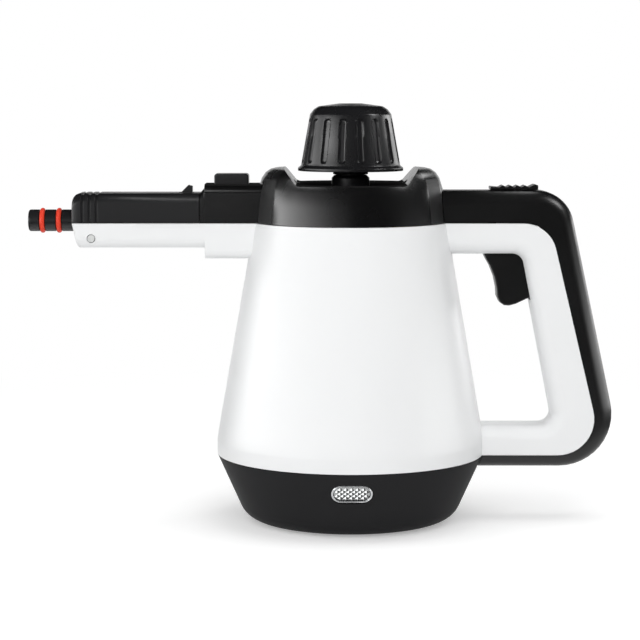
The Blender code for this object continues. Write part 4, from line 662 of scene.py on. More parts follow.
def along_x(name, section, start_x, end_x):
    """A bar along X with a rounded section."""
    return loft(name, [ring_at(x, *section) for x in (start_x, end_x)])


def nose_steps():
    """How far each ring of a round nose falls short of the full section, and how far on it lies."""
    for step in range(CORNER_STEPS + 1):
        angle = math.pi / 2 * step / CORNER_STEPS
        yield 1 - math.sin(angle), 1 - math.cos(angle)


def lower_barrel_solid():
    slope = BARREL_RAKE / (BODY_SEAM_Z - BARREL_BOTTOM_Z)
    rings = []
    for short, on in nose_steps():
        inset = NOSE_ROUND * short
        front_x = BARREL_FRONT_X + NOSE_ROUND * on
        section = rounded_section(BARREL_BOTTOM_Z + inset, BODY_SEAM_Z + OVERRUN,
                                  BARREL_HALF_WIDTH - inset, BARREL_EDGE, 0)
        rings.append([(front_x + slope * (BODY_SEAM_Z - z), y, z) for y, z in section])
    rings.append([(-HANDLE_START_X, y, z) for y, z in section])
    return loft("lower barrel", rings)


def barrel_cavity_start():
    return BARREL_FRONT_X + BARREL_RAKE + WALL


def nozzle_hole():
    return rod("nozzle hole", (-NOZZLE_REACH, 0, NOZZLE_Z), (barrel_cavity_start() + OVERRUN, 0, NOZZLE_Z),
               TIP_RADIUS + FIT, ROUND_FACETS)


def shell_bosses():
    """Pillars for the shell screws and short bosses for the trigger's pin, all along Y."""
    reach = HANDLE_HALF_WIDTH - WALL / 2
    bosses = [cross_rod("boss", x, z, reach, SHELL_BOSS_RADIUS) for x, z in SHELL_SCREW_PLACES]
    for side in (-1, 1):
        bosses.append(rod("pin boss", (TRIGGER_PIVOT_X, side * pin_boss_start(), TRIGGER_PIVOT_Z),
                          (TRIGGER_PIVOT_X, side * reach, TRIGGER_PIVOT_Z), PIN_BOSS_RADIUS))
    return bosses


def shell_holes():
    """Screw holes, the trigger's slot and pin hole, the nozzle's holes and the shallow side rails."""
    holes = [nozzle_hole()]
    for x, z in SHELL_SCREW_PLACES:
        for name, start, end, radius in (
                ("pilot", SHELL_SCREW_TIP_Y - FIT, SHELL_SCREW_SINK_Y + OVERRUN, SHELL_SCREW_RADIUS),
                ("counterbore", SHELL_SCREW_SINK_Y, HANDLE_HALF_WIDTH + OVERRUN, SHELL_SCREW_HEAD)):
            holes.append(rod(name, (x, start, z), (x, end, z), radius + FIT))
    pin_reach = (pin_boss_start() + HANDLE_HALF_WIDTH) / 2 + FIT
    holes.append(cross_rod("pin hole", TRIGGER_PIVOT_X, TRIGGER_PIVOT_Z, pin_reach, TRIGGER_PIN_RADIUS + FIT))
    slot_half = TRIGGER_HALF_WIDTH + SLOT_CLEARANCE
    holes.append(box("trigger slot", (TRIGGER_SLOT_X, -slot_half, TRIGGER_SLOT_Z),
                     (TRIGGER_SLOT_X + TRIGGER_SLOT_DEPTH, slot_half, TRIGGER_PIVOT_Z)))
    across = BARREL_HALF_WIDTH + OVERRUN
    holes.append(cross_rod("nozzle pin hole", BARREL_FRONT_X + PIN_SETBACK, PIN_Z, across, PIN_RADIUS + FIT))
    for side in (-1, 1):
        edges = sorted((side * (BARREL_HALF_WIDTH - RAIL_DEPTH), side * across))
        holes.append(box("rail", (BARREL_FRONT_X + RAIL_SETBACK, edges[0], RAIL_Z),
                         (SHROUD_END_X, edges[1], BODY_SEAM_Z + OVERRUN)))
        holes.append(rod("spring pocket", (TRIGGER_PIVOT_X, side * TRIGGER_HALF_WIDTH, TRIGGER_PIVOT_Z),
                         (TRIGGER_PIVOT_X, side * pin_boss_start(), TRIGGER_PIVOT_Z),
                         TRIGGER_PIN_RADIUS + FIT + 2 * TRIGGER_SPRING_WIRE + SLOT_CLEARANCE))
    return holes


def barrel_channel(low_z, high_z, low_round, high_round, start_x, end_x=-HANDLE_START_X):
    """The space inside the barrel or the shroud, up to the body where no other end is given."""
    return along_x("channel", (low_z, high_z, BARREL_HALF_WIDTH - WALL, low_round, high_round), start_x,
                   end_x)


def body_shells():
    """The white clamshell: cone, lower barrel and the handle's inner half, split down the middle."""
    shell = body_cone(0, OVERRUN)
    top_z = BODY_SEAM_Z + OVERRUN
    edge = BARREL_EDGE - WALL
    lower_shroud = along_x("lower shroud", (LOWER_SHROUD_Z, top_z, BARREL_HALF_WIDTH, BARREL_EDGE, 0),
                           LOWER_SHROUD_X, -HANDLE_START_X)
    join(shell, handle_solid(0), lower_barrel_solid(), lower_shroud)
    combine(shell, [white_zone(-SEAM_GAP / 2)], "INTERSECT")
    cut(shell, body_cone(WALL, OVERRUN * 2), handle_solid(WALL),
        barrel_channel(BARREL_BOTTOM_Z + WALL, top_z, edge, 0, barrel_cavity_start()),
        barrel_channel(LOWER_SHROUD_Z + WALL, top_z, edge, 0, LOWER_SHROUD_X + WALL))
    join(shell, *shell_bosses())
    cut(shell, *shell_holes())
    rear = copy_of(shell, "body_shell_rear")
    shell.name = "body_shell_front"
    far = NOZZLE_REACH * 2
    cut(shell, box("rear side", (-far, -SEAM_GAP / 2, -far), (far, far, far)))
    cut(rear, box("front side", (-far, -far, -far), (far, SEAM_GAP / 2, far)))
    return shell, rear


def handle_spine():
    """The black strip along the top and back of the handle, with the slot for the lock slider."""
    start, end = stem_span()
    spine = handle_solid(0)
    cut(spine, white_zone(SEAM_GAP / 2), handle_solid(WALL), collar_solid(SEAM_GAP),
        base_bowl(SEAM_GAP, BASE_SEAM_Z + OVERRUN),
        roof_slot("stem slot", start - SLIDER_TRAVEL, end, STEM_HALF_WIDTH, SPINE_TOP_Z))
    spine.name = "handle_spine"
    return spine


def collar_ring(radius, z):
    """The collar's plan outline: a circle with a flat cheek beside each arm."""
    front = [CHEEK_OUTER + (math.pi - 2 * CHEEK_OUTER) * k / COLLAR_ARC_STEPS
             for k in range(COLLAR_ARC_STEPS + 1)]
    end = [-CHEEK_INNER, -CHEEK_INNER / 2, 0, CHEEK_INNER / 2, CHEEK_INNER]
    angles = end + front + [math.pi + angle for angle in end + front]
    return [(radius * math.cos(angle), radius * math.sin(angle), z) for angle in angles]


def below_rim():
    """Everything under the top housing's rim."""
    far = NOZZLE_REACH * 2
    return box("below rim", (-far, -far, -far), (far, far, BODY_SEAM_Z + SEAM_GAP / 2))


def collar_solid(offset, low_z=BODY_SEAM_Z - OVERRUN, drop=0.0):
    rings = [collar_ring(COLLAR_RADIUS + offset, low_z)]
    for height_share, radius_share in COLLAR_LEVEL_SHARES:
        level = BODY_SEAM_Z + (COLLAR_TOP_Z - BODY_SEAM_Z) * height_share - drop
        rings.append(collar_ring(COLLAR_RADIUS * radius_share + offset, level))
    return loft("collar", rings)


def lip_notch(offset):
    """The channel across the collar, open at the front and the back, that leaves two ears."""
    crest = COLLAR_TOP_Z + OVERRUN * 2
    spread = (EAR_INNER_X - LIP_HALF_WIDTH) * (crest - LIP_Z) / (COLLAR_TOP_Z - LIP_Z)
    top_x = LIP_HALF_WIDTH + spread
    corners = ((top_x, crest), (LIP_HALF_WIDTH, LIP_Z), (-LIP_HALF_WIDTH, LIP_Z), (-top_x, crest))
    outline = rounded_path(corners, (LIP_FILLET, LIP_FILLET), offset)
    return prism("notch", outline, -BODY_FOOT_RADIUS, BODY_FOOT_RADIUS)


def top_housing():
    """The black collar with its ears and dish, and the shroud that covers the latch."""
    housing = collar_solid(0)
    shroud_x = SHROUD_END_X + SHROUD_CHAMFER
    roof = ((SHROUD_END_X, SHROUD_STEP_Z), (shroud_x, SHROUD_STEP_Z + BARREL_EDGE / 2),
            (shroud_x + FIT, SHROUD_TOP_Z), (-HANDLE_START_X, SHROUD_TOP_Z))
    join(housing, loft("shroud", [
        ring_at(x, BODY_SEAM_Z - OVERRUN / 2, top_z, BARREL_HALF_WIDTH, 0, BARREL_EDGE)
        for x, top_z in roof]))
    cut(housing, lip_notch(0), below_rim())
    cavity = collar_solid(-WALL, drop=WALL)
    cut(cavity, lip_notch(WALL + DISH_DEPTH))
    low_z = BODY_SEAM_Z - OVERRUN
    edge = BARREL_EDGE - WALL
    cut(housing, cavity, barrel_channel(low_z, BARREL_TOP_Z - WALL, 0, edge, SHROUD_END_X - OVERRUN),
        barrel_channel(low_z, SHROUD_TOP_Z - WALL, 0, edge, shroud_x + WALL))
    dish_z = LIP_Z - DISH_DEPTH
    dish = lathe("dish", ((0, dish_z), (DISH_RADIUS / 2, dish_z), (DISH_RADIUS, LIP_Z),
                          (DISH_RADIUS, LIP_Z + OVERRUN), (0, LIP_Z + OVERRUN)))
    neck_hole = rod("neck hole", (0, 0, dish_z - WALL - OVERRUN), (0, 0, LIP_Z), NECK_HOLE_RADIUS,
                    ROUND_FACETS)
    button_sweep = (SHROUD_TOP_Z - LATCH_PIVOT_Z) * math.sin(LATCH_SWING)
    slot = roof_slot("button slot", BUTTON_START_X - button_sweep, BUTTON_END_X, BUTTON_HALF_WIDTH,
                     SHROUD_TOP_Z)
    cut(housing, dish, neck_hole, slot)
    housing.name = "top_housing"
    return housing


def dish_seal():
    """The flat ring between the dish and the neck."""
    inner = NECK_RADIUS + FIT
    outer = NECK_HOLE_RADIUS - FIT
    high = LIP_Z - DISH_DEPTH
    low = high - WALL
    return lathe("dish_seal", ((inner, low), (outer, low), (outer, high), (inner, high)))


def barrel_ring(x, inset_top, inset_side):
    return ring_at(x, BODY_SEAM_Z - OVERRUN + inset_side, BARREL_TOP_Z - inset_top,
                   BARREL_HALF_WIDTH - inset_side, 0, BARREL_EDGE)


def nozzle_cover():
    """The black upper half of the barrel: round nose, three ring grooves and the wedge's slot."""
    rings = [barrel_ring(BARREL_FRONT_X + BARREL_NOSE * on, BARREL_NOSE * short, NOSE_ROUND * short)
             for short, on in nose_steps()]
    for groove in range(GROOVE_COUNT):
        centre = BARREL_FRONT_X + GROOVE_SETBACK + GROOVE_PITCH * groove
        for side, depth in ((-1, 0), (-1, GROOVE_DEPTH), (1, GROOVE_DEPTH), (1, 0)):
            rings.append(barrel_ring(centre + side * GROOVE_WIDTH / 2, depth, depth))
    rings.append(barrel_ring(SHROUD_END_X - SEAM_GAP, 0, 0))
    cover = loft("nozzle_cover", rings)
    cavity = barrel_channel(BODY_SEAM_Z - OVERRUN, BARREL_TOP_Z - WALL, 0, BARREL_EDGE - WALL,
                            barrel_cavity_start(), SHROUD_END_X + OVERRUN)
    return cut(cover, below_rim(), cavity, nozzle_hole(),
               roof_slot("wedge slot", WEDGE_START_X, WEDGE_END_X, WEDGE_HALF_WIDTH, BARREL_TOP_Z))


def nozzle_parts():
    """The tip with its two seals and its jet, and the grey locating pin."""
    flange = barrel_cavity_start() + FIT + NOZZLE_REACH
    groove = RING_RADIUS - RING_THICK - FIT
    half = RING_THICK / 2 + FIT
    tail = TIP_LENGTH + TIP_TAIL
    profile = [(TIP_BORE, 0), (TIP_RADIUS - TIP_ROUND, 0)]
    profile += curve_between((TIP_RADIUS - TIP_ROUND, 0), (TIP_RADIUS, 0), (TIP_RADIUS, TIP_ROUND),
                             CORNER_STEPS - 1)
    for centre in (FRONT_RING_SETBACK, REAR_RING_SETBACK):
        profile += [(TIP_RADIUS, centre - half), (groove, centre - half), (groove, centre + half),
                    (TIP_RADIUS, centre + half)]
    profile += [(TIP_RADIUS, flange), (TIP_FLANGE_RADIUS, flange), (TIP_FLANGE_RADIUS, flange + TIP_FLANGE),
                (TIP_RADIUS, flange + TIP_FLANGE), (TIP_RADIUS, tail), (TIP_BORE, tail)]
    parts = [lay_along_x(lathe("nozzle_tip", profile), -NOZZLE_REACH, NOZZLE_Z)]
    ring_half = RING_THICK / 2
    circle = [(RING_RADIUS - ring_half + ring_half * math.cos(2 * math.pi * k / RING_FACETS),
               ring_half * math.sin(2 * math.pi * k / RING_FACETS)) for k in range(RING_FACETS)]
    for name, setback in (("o_ring_front", FRONT_RING_SETBACK), ("o_ring_rear", REAR_RING_SETBACK)):
        parts.append(lay_along_x(lathe(name, circle), setback - NOZZLE_REACH, NOZZLE_Z))
    jet = lathe("nozzle_jet", (
        (JET_BORE, 0), (JET_RADIUS, 0), (JET_RADIUS, JET_LENGTH), (JET_BORE, JET_LENGTH)), SMALL_FACETS)
    parts.append(lay_along_x(jet, -NOZZLE_REACH + TIP_ROUND / 2, NOZZLE_Z))
    parts.append(cross_rod("nozzle_pin", BARREL_FRONT_X + PIN_SETBACK, PIN_Z, BARREL_HALF_WIDTH, PIN_RADIUS))
    return parts


def pin_boss_start():
    """The boss begins past the trigger's hub and the torsion spring beside it."""
    spring_length = (2 * TRIGGER_SPRING_WIRE + FIT) * TRIGGER_SPRING_TURNS
    return TRIGGER_HALF_WIDTH + 3 * FIT + 2 * TRIGGER_SPRING_WIRE + spring_length


def trigger_blade():
    """The trigger's blade with its hub and its arm."""
    outline = [(TRIGGER_PIVOT_X + TRIGGER_DEPTH * x, TRIGGER_PIVOT_Z + TRIGGER_REACH * z)
               for x, z in TRIGGER_OUTLINE_SHARES]
    blade = bevel(prism("trigger", outline, -TRIGGER_HALF_WIDTH, TRIGGER_HALF_WIDTH), TRIGGER_EDGE)
    arm_z = TRIGGER_PIVOT_Z + TRIGGER_ARM
    hub = cross_rod("hub", TRIGGER_PIVOT_X, TRIGGER_PIVOT_Z, TRIGGER_HALF_WIDTH + FIT, TRIGGER_HUB)
    arm = box("arm", (TRIGGER_PIVOT_X - TRIGGER_ARM_RADIUS, -TRIGGER_ARM_HALF_WIDTH, TRIGGER_PIVOT_Z),
              (TRIGGER_PIVOT_X + TRIGGER_ARM_RADIUS, TRIGGER_ARM_HALF_WIDTH, arm_z))
    nose = cross_rod("nose", TRIGGER_PIVOT_X, arm_z, TRIGGER_ARM_HALF_WIDTH + FIT, TRIGGER_ARM_RADIUS + FIT)
    join(blade, hub, arm, nose)
    return cut(blade, cross_rod("bore", TRIGGER_PIVOT_X, TRIGGER_PIVOT_Z, TRIGGER_HALF_WIDTH * 2,
                                TRIGGER_PIN_RADIUS + FIT))


def stem_span():
    start = SLIDER_START_X + STEM_SETBACK
    return start, start + STEM_LENGTH


def lock_slider():
    """The ribbed thumb slider with its stem."""
    bottom = SPINE_TOP_Z + FIT
    valley_z = SLIDER_TOP_Z - SLIDER_VALLEY
    outline = [(SLIDER_START_X, bottom), (SLIDER_START_X, SLIDER_TOP_Z)]
    for tooth in range(SLIDER_TOOTH_COUNT):
        peak = SLIDER_START_X + SLIDER_FIRST_TOOTH + SLIDER_TOOTH_PITCH * tooth
        outline += [(peak - SLIDER_TOOTH_PITCH / 2, valley_z), (peak, SLIDER_TOP_Z + SLIDER_PEAK)]
    outline += [(peak + SLIDER_TOOTH_PITCH / 2, valley_z),
                (SLIDER_END_X - SLIDER_TOE_LENGTH, SLIDER_TOP_Z + SLIDER_TOE),
                (SLIDER_END_X, SLIDER_TOP_Z + SLIDER_PEAK), (SLIDER_END_X, bottom)]
    slider = prism("lock_slider", outline, -SLIDER_HALF_WIDTH, SLIDER_HALF_WIDTH)
    start, end = stem_span()
    return join(slider, box("stem", (start, -STEM_HALF_WIDTH, SPINE_TOP_Z - WALL - FIT),
                            (end, STEM_HALF_WIDTH, bottom + FIT)))


def latch_lever():
    """The latch lever with its hub, its button and its wedge tooth."""
    foot = LATCH_PIVOT_Z - LATCH_THICKNESS / 2
    lever = box("latch_lever", (WEDGE_START_X, -LATCH_HALF_WIDTH, foot),
                (LATCH_PIVOT_X, LATCH_HALF_WIDTH, LATCH_PIVOT_Z + LATCH_THICKNESS / 2))
    hub = cross_rod("hub", LATCH_PIVOT_X, LATCH_PIVOT_Z, LATCH_HALF_WIDTH + FIT, LATCH_HUB)
    foot += FIT
    corners = ((BUTTON_START_X, foot), (BUTTON_START_X, BUTTON_TOP_Z), (BUTTON_END_X, BUTTON_TOP_Z),
               (BUTTON_END_X, foot))
    button = bevel(prism("button", rounded_path(corners, (BUTTON_ROUND, BUTTON_ROUND)), -BUTTON_HALF_WIDTH,
                         BUTTON_HALF_WIDTH), BUTTON_EDGE)
    wedge = prism("wedge", ((WEDGE_START_X, foot), (WEDGE_START_X, BARREL_TOP_Z - SLOT_CLEARANCE),
                            (WEDGE_PEAK_X, WEDGE_PEAK_Z), (WEDGE_END_X, WEDGE_PEAK_Z - SLOT_CLEARANCE),
                            (WEDGE_END_X, foot)), -WEDGE_HALF_WIDTH, WEDGE_HALF_WIDTH)
    join(lever, hub, button, wedge)
    return cut(lever, cross_rod("bore", LATCH_PIVOT_X, LATCH_PIVOT_Z, LATCH_HALF_WIDTH * 2,
                                LATCH_PIN_RADIUS + FIT))


def spread_round(count, circle, start_angle):
    for index in range(count):
        angle = start_angle + 2 * math.pi * index / count
        yield index + 1, circle * math.cos(angle), circle * math.sin(angle)


def base_parts():
    """The bowl with its posts, foot seats, lamp window and cord inlet, and what sits in it."""
    rim_z = BASE_SEAM_Z - SEAM_GAP / 2
    shell = cut(base_bowl(0, rim_z), base_bowl(-WALL, rim_z + OVERRUN))
    parts = []
    posts = []
    holes = []
    low_z = BASE_BOTTOM_Z - OVERRUN
    head_seat_z = BASE_BOTTOM_Z + SCREW_SINK
    post_top = BOILER_BOTTOM_Z - FIT
    head_top = head_seat_z - FIT
    length = BOILER_BOTTOM_Z + SCREW_BITE - head_top
    screw_profile = ((0, -SCREW_HEAD), (SCREW_HEAD_RADIUS, -SCREW_HEAD), (SCREW_HEAD_RADIUS, 0),
                     (SCREW_RADIUS, 0), (SCREW_RADIUS, length), (0, length))
    for number, x, y in spread_round(POST_COUNT, POST_CIRCLE_RADIUS, 0):
        posts.append(rod("post", (x, y, BASE_BOTTOM_Z + WALL / 2), (x, y, post_top), POST_RADIUS))
        holes.append(rod("counterbore", (x, y, low_z), (x, y, head_seat_z), SCREW_HEAD_RADIUS + FIT))
        holes.append(rod("bore", (x, y, BASE_BOTTOM_Z), (x, y, post_top + OVERRUN), SCREW_RADIUS + FIT))
        screw = lathe(f"base_screw_{number}", screw_profile, SMALL_FACETS)
        screw.location = (x, y, head_top)
        parts.append(screw)
    seat_top = BASE_BOTTOM_Z + FOOT_SEAT
    for number, x, y in spread_round(FOOT_COUNT, FOOT_CIRCLE_RADIUS, FOOT_ANGLE):
        holes.append(rod("seat", (x, y, low_z), (x, y, seat_top), FOOT_RADIUS + FIT, ROUND_FACETS))
        foot = rod(f"foot_{number}", (0, 0, 0), (0, 0, seat_top - FIT), FOOT_RADIUS, ROUND_FACETS)
        foot.location = (x, y, 0)
        parts.append(foot)
    front = base_wall_frame(LAMP_Z, -1)
    window = slab("window", stadium(LAMP_LENGTH + 2 * FIT, LAMP_HEIGHT + 2 * FIT), -WALL * 2, OVERRUN)
    window.data.transform(front)
    back = base_wall_frame(GLAND_Z, 1)
    gland_hole = rod("gland hole", (0, 0, -WALL * 2), (0, 0, OVERRUN), GLAND_RADIUS + FIT, ROUND_FACETS)
    gland_hole.data.transform(back)
    join(shell, *posts)
    cut(shell, *holes, window, gland_hole)
    shell.name = "base_shell"
    gland = lathe("cord_gland", ((GLAND_BORE, -WALL * 2), (GLAND_RADIUS, -WALL * 2), (GLAND_RADIUS, FIT),
                                 (GLAND_LIP, FIT), (GLAND_LIP, GLAND_PROUD / 2), (GLAND_RADIUS, GLAND_PROUD),
                                 (GLAND_BORE, GLAND_PROUD)))
    gland.matrix_world = back
    return parts + [shell, gland] + lamp_parts(front)


def lamp_parts(place):
    bezel = slab("lamp_bezel", stadium(LAMP_LENGTH, LAMP_HEIGHT), -LAMP_DEPTH, -LAMP_SINK)
    cut(bezel, slab("hole", stadium(WINDOW_LENGTH, WINDOW_HEIGHT), -LAMP_DEPTH - OVERRUN, OVERRUN))
    rings = []
    for trim, z in ((FIT, -LAMP_DEPTH), (FIT, LENS_EDGE_Z), (FIT + LENS_CROWN, LENS_EDGE_Z + LENS_CROWN / 2)):
        rings.append([(x, y, z) for x, y in stadium(WINDOW_LENGTH - 2 * trim, WINDOW_HEIGHT - 2 * trim)])
    lens = loft("lamp_lens", rings)
    for item in (bezel, lens):
        item.matrix_world = place
    return [bezel, lens]


def filler_neck():
    foot = BOILER_TOP_Z + FIT
    flange = foot + NECK_FLANGE
    return lathe("filler_neck", (
        (NECK_BORE, foot), (NECK_FLANGE_RADIUS, foot), (NECK_FLANGE_RADIUS, flange), (NECK_RADIUS, flange),
        (NECK_RADIUS, NECK_TOP_Z - NECK_BEVEL), (NECK_RADIUS - NECK_BEVEL, NECK_TOP_Z),
        (NECK_BORE, NECK_TOP_Z)))


def skirt_radius(z):
    """The cap's outer radius at a height on its tapered skirt."""
    share = (z - CAP_SKIRT_Z) / (CAP_SHOULDER_Z - CAP_SKIRT_Z)
    return CAP_SKIRT_RADIUS + (CAP_SHOULDER_RADIUS - CAP_SKIRT_RADIUS) * share


def shell_screws():
    parts = []
    head = SHELL_SCREW_SINK_Y + FIT - SHELL_SCREW_TIP_Y
    length = head + SHELL_SCREW_HEAD_LENGTH
    profile = ((0, 0), (SHELL_SCREW_RADIUS, 0), (SHELL_SCREW_RADIUS, head), (SHELL_SCREW_HEAD, head),
               (SHELL_SCREW_HEAD, length), (0, length))
    for number, (x, z) in enumerate(SHELL_SCREW_PLACES, 1):
        screw = lathe(f"shell_screw_{number}", profile, SMALL_FACETS)
        screw.data.transform(Matrix.Rotation(-math.pi / 2, 4, "X"))
        screw.location = (x, SHELL_SCREW_TIP_Y, z)
        parts.append(screw)
    return parts


# Width and segments of the pieces' rounded edges
SOFT_EDGE = (0.00035, 3)
CRISP_EDGE = (0.0002, 2)
COLLAR_EDGE = (0.0006, 3)

# Fine detail that only the looks need
FLUTE_STEPS = 28
FLUTE_ROWS = 44
FLUTE_HALF_WIDTH = 0.0020
FLUTE_STEEPNESS = 1.7
FLANGE_FILLET = 0.0003
CROWN_FILLET = 0.0005
CROWN_FILLET_STEPS = 5
CROWN_CENTRE_RADIUS = 0.0001
SHORT_SIDE_SHARE = 0.45
LENS_PITCH_X = 0.0030
LENS_PITCH_Y = 0.0026
LENS_RELIEF = 0.0008
RIM_BEAD = 0.0003

# What tells the faces of the dish and of the flat cheeks from the collar's other faces
DISH_FACE_UP = 0.8
DISH_FACE_RISE = DISH_DEPTH * 1.5
CHEEK_FACE_ALONG = (0.84, 0.95)
CHEEK_FACE_ACROSS = 0.3

# Studio: the floor, the dark screens that reflections see, and the lamps
WHITE = (1, 1, 1, 1)
FLOOR_REACH = 9.0
FLOOR_COLOUR = (0.86, 0.86, 0.86, 1)
FLOOR_LIFT = 0.34
FLOOR_FADE_START = 0.30
FLOOR_FADE_END = 0.60
WORLD_LIGHT = 0.42
LAMP_AIM = (0.0, 0.0, 0.11)
FLAG_COLOUR = (0.01, 0.01, 0.01, 1)
FLAG_RADIUS = 3.0
FLAG_TOP = 4.0
FLAG_BOTTOM = -0.4
FLAG_SPREAD = 150
HALF_TURN = 180
FLAG_STEPS = 60
FLAG_OPEN_TOP = 1.0
FLAG_INNER_RADIUS = 0.26
FLAG_LIFT = 0.002
CARD_COLUMNS = 48
CARD_ROWS = 16

# Azimuth to the right of the camera's side in degrees, distance, height, width, tall, power
SOFTBOXES = {
    "left box": (-96, 1.5, 0.50, 0.80, 0.60, 3.5),
    "left strip": (-48, 1.6, 0.55, 0.20, 1.00, 1.1),
    "right back box": (133, 1.5, 0.50, 0.35, 1.10, 5.0),
    "front box": (-4, 1.5, 0.85, 1.20, 0.90, 11.6),
    "top box": (60, 0.4, 1.70, 1.20, 1.00, 7.0),
}

# Glowing cards that only reflections see: where the glow starts and is full, and where it is last full
# and ends, first in azimuth and then in elevation, in degrees, its strength, and the card's distance
# and centre
FAR = (2.8, (0.0, 0.18))
BESIDE_CAP = (0.12, (0.0, 0.206))
BESIDE_GRIP = (0.35, (0.14, 0.13))
BESIDE_CORNER = (0.33, (0.13, 0.19))
CARDS = {
    "side card": ((-122, -108, -104, 6), (-9, -4, 8.5, 12.5), 7.2, *FAR),
    "cap card": ((-78, -62, -50, -8), (9.5, 12, 16.5, 19), 8.5, *BESIDE_CAP),
    "front card": ((-18, -10, -6, 2), (-14, -9, 1, 5), 1.1, *FAR),
    "right card": ((86, 98, 112, 124), (5, 8, 15, 18), 3.8, *BESIDE_CAP),
    "cheek card": ((106, 116, 136, 150), (-14, -9, 6, 10), 4.4, *FAR),
    "grip card": ((36, 66, 104, 122), (-16, -10, -1, 4), 5.2, *BESIDE_GRIP),
    "corner card": ((44, 54, 70, 84), (29, 34, 50, 60), 12.0, *BESIDE_CORNER),
}

# Colour, roughness, metallic, grain per metre, bump depth, colour variation, specular level
FINISHES = {
    "white_plastic": ((0.87, 0.878, 0.882), 0.34, 0.0, 2600, 0.00001, 0.012, 0.25),
    "black_gloss": ((0.0045, 0.0045, 0.0048), 0.26, 0.0, 1800, 0.000006, 0.10, 0.50),
    "black_satin": ((0.012, 0.012, 0.013), 0.34, 0.0, 3000, 0.00001, 0.15, 0.45),
    "black_matte": ((0.0050, 0.0050, 0.0053), 0.36, 0.0, 3600, 0.00002, 0.15, 0.45),
    "cap_black": ((0.010, 0.010, 0.011), 0.26, 0.0, 2400, 0.000006, 0.10, 0.50),
    "facet_black": ((0.0045, 0.0045, 0.0048), 0.50, 0.0, 1800, 0.000006, 0.10, 0.50),
    "base_black": ((0.021, 0.021, 0.022), 0.52, 0.0, 2400, 0.00002, 0.06, 0.04),
    "dish_black": ((0.016, 0.016, 0.016), 0.80, 0.0, 2400, 0.00002, 0.06, 0.0),
    "grey_plastic": ((0.66, 0.67, 0.66), 0.45, 0.0, 2600, 0.00001, 0.03, 0.30),
    "red_rubber": ((0.80, 0.052, 0.022), 0.42, 0.0, 3000, 0.00001, 0.06, 0.30),
    "black_rubber": ((0.010, 0.010, 0.010), 0.75, 0.0, 3000, 0.00004, 0.15, 0.20),
    "silicone": ((0.75, 0.73, 0.68), 0.50, 0.0, 1500, 0.00001, 0.03, 0.40),
    "clear_lens": ((0.42, 0.43, 0.43), 0.08, 0.75, 900, 0.000004, 0.05, 0.50),
    "chrome_trim": ((0.62, 0.63, 0.64), 0.14, 1.0, 900, 0.000002, 0.02, 0.50),
    "lamp_bulb": ((0.90, 0.45, 0.20), 0.25, 0.0, 900, 0.000002, 0.05, 0.50),
    "cast_aluminium": ((0.62, 0.63, 0.64), 0.48, 1.0, 1800, 0.00006, 0.06, 0.50),
    "steel": ((0.56, 0.56, 0.55), 0.32, 1.0, 1500, 0.000005, 0.05, 0.50),
    "brass": ((0.72, 0.55, 0.24), 0.28, 1.0, 1500, 0.000005, 0.06, 0.50),
}

# How a finish wanders slowly over a surface, and its fine grain
WANDER_SCALE = 28.0
WANDER_DETAIL = 3.0
WANDER_LOW = 0.3
WANDER_HIGH = 0.7
ROUGHNESS_BELOW = 0.03
ROUGHNESS_ABOVE = 0.04
GRAIN_DETAIL = 2.0
GRAIN_STRENGTH = 0.6

# Places of the colour sockets among a Mix node's inputs and outputs
MIX_FIRST = 6
MIX_SECOND = 7
MIX_RESULT = 2


def feed(tree, node, sockets):
    """Fill a node's inputs: another node's output is linked, any other value is set."""
    for socket, value in sockets.items():
        if isinstance(value, bpy.types.NodeSocket):
            tree.links.new(value, node.inputs[socket])
        else:
            node.inputs[socket].default_value = value


def add_node(tree, kind, sockets=None, output=0, **settings):
    """Add a shader node and give back one of its outputs."""
    node = tree.nodes.new("ShaderNode" + kind)
    for name, value in settings.items():
        setattr(node, name, value)
    feed(tree, node, sockets or {})
    return node.outputs[output]


def new_material(name):
    material = bpy.data.materials.new(name)
    material.use_nodes = True
    return material, material.node_tree


def make_finish(name):
    """A surface whose colour and roughness wander a little, and whose fine grain breaks up the light."""
    colour, roughness, metallic, grain, depth, wander, specular = FINISHES[name]
    material, tree = new_material("finish_" + name)
    place = add_node(tree, "TexCoord", output="Object")
    broad = add_node(tree, "TexNoise",
                     {"Scale": WANDER_SCALE, "Detail": WANDER_DETAIL, "Vector": place}, "Fac")
    darker, paler = ((*(min(value * gain, 1.0) for value in colour), 1.0)
                     for gain in (1 - wander, 1 + wander))
    tint = add_node(tree, "Mix", {"Factor": broad, MIX_FIRST: darker, MIX_SECOND: paler}, MIX_RESULT,
                    data_type="RGBA")
    spread = add_node(tree, "MapRange", {
        "From Min": WANDER_LOW, "From Max": WANDER_HIGH, "To Min": roughness - ROUGHNESS_BELOW,
        "To Max": roughness + ROUGHNESS_ABOVE, "Value": broad}, "Result")
    fine = add_node(tree, "TexNoise", {"Scale": grain, "Detail": GRAIN_DETAIL, "Vector": place}, "Fac")
    relief = add_node(tree, "Bump", {"Distance": depth, "Strength": GRAIN_STRENGTH, "Height": fine}, "Normal")
    feed(tree, tree.nodes["Principled BSDF"], {
        "Base Color": tint, "Roughness": spread, "Normal": relief, "Metallic": metallic,
        "Specular IOR Level": specular})
    return material


finishes = {name: make_finish(name) for name in FINISHES}
offset = Vector((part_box("nozzle_tip")[0].x + NOZZLE_REACH, 0, 0))
slots = {row["node"]: row["material_slot"] for row in frame["record"]["subparts"]}
homes = {node: body for body, members in frame["record"]["behaviour"]["bodies"].items() for node in members}


def put_in_frame(item, name, finish):
    """Move a piece to where the frame has the part, and give it its name and its finish."""
    item.data.transform(Matrix.Translation(offset) @ item.matrix_basis)
    item.matrix_basis = Matrix.Identity(4)
    item.name = name
    item.data.name = name
    item.data.materials.clear()
    item.data.materials.append(finishes[finish])


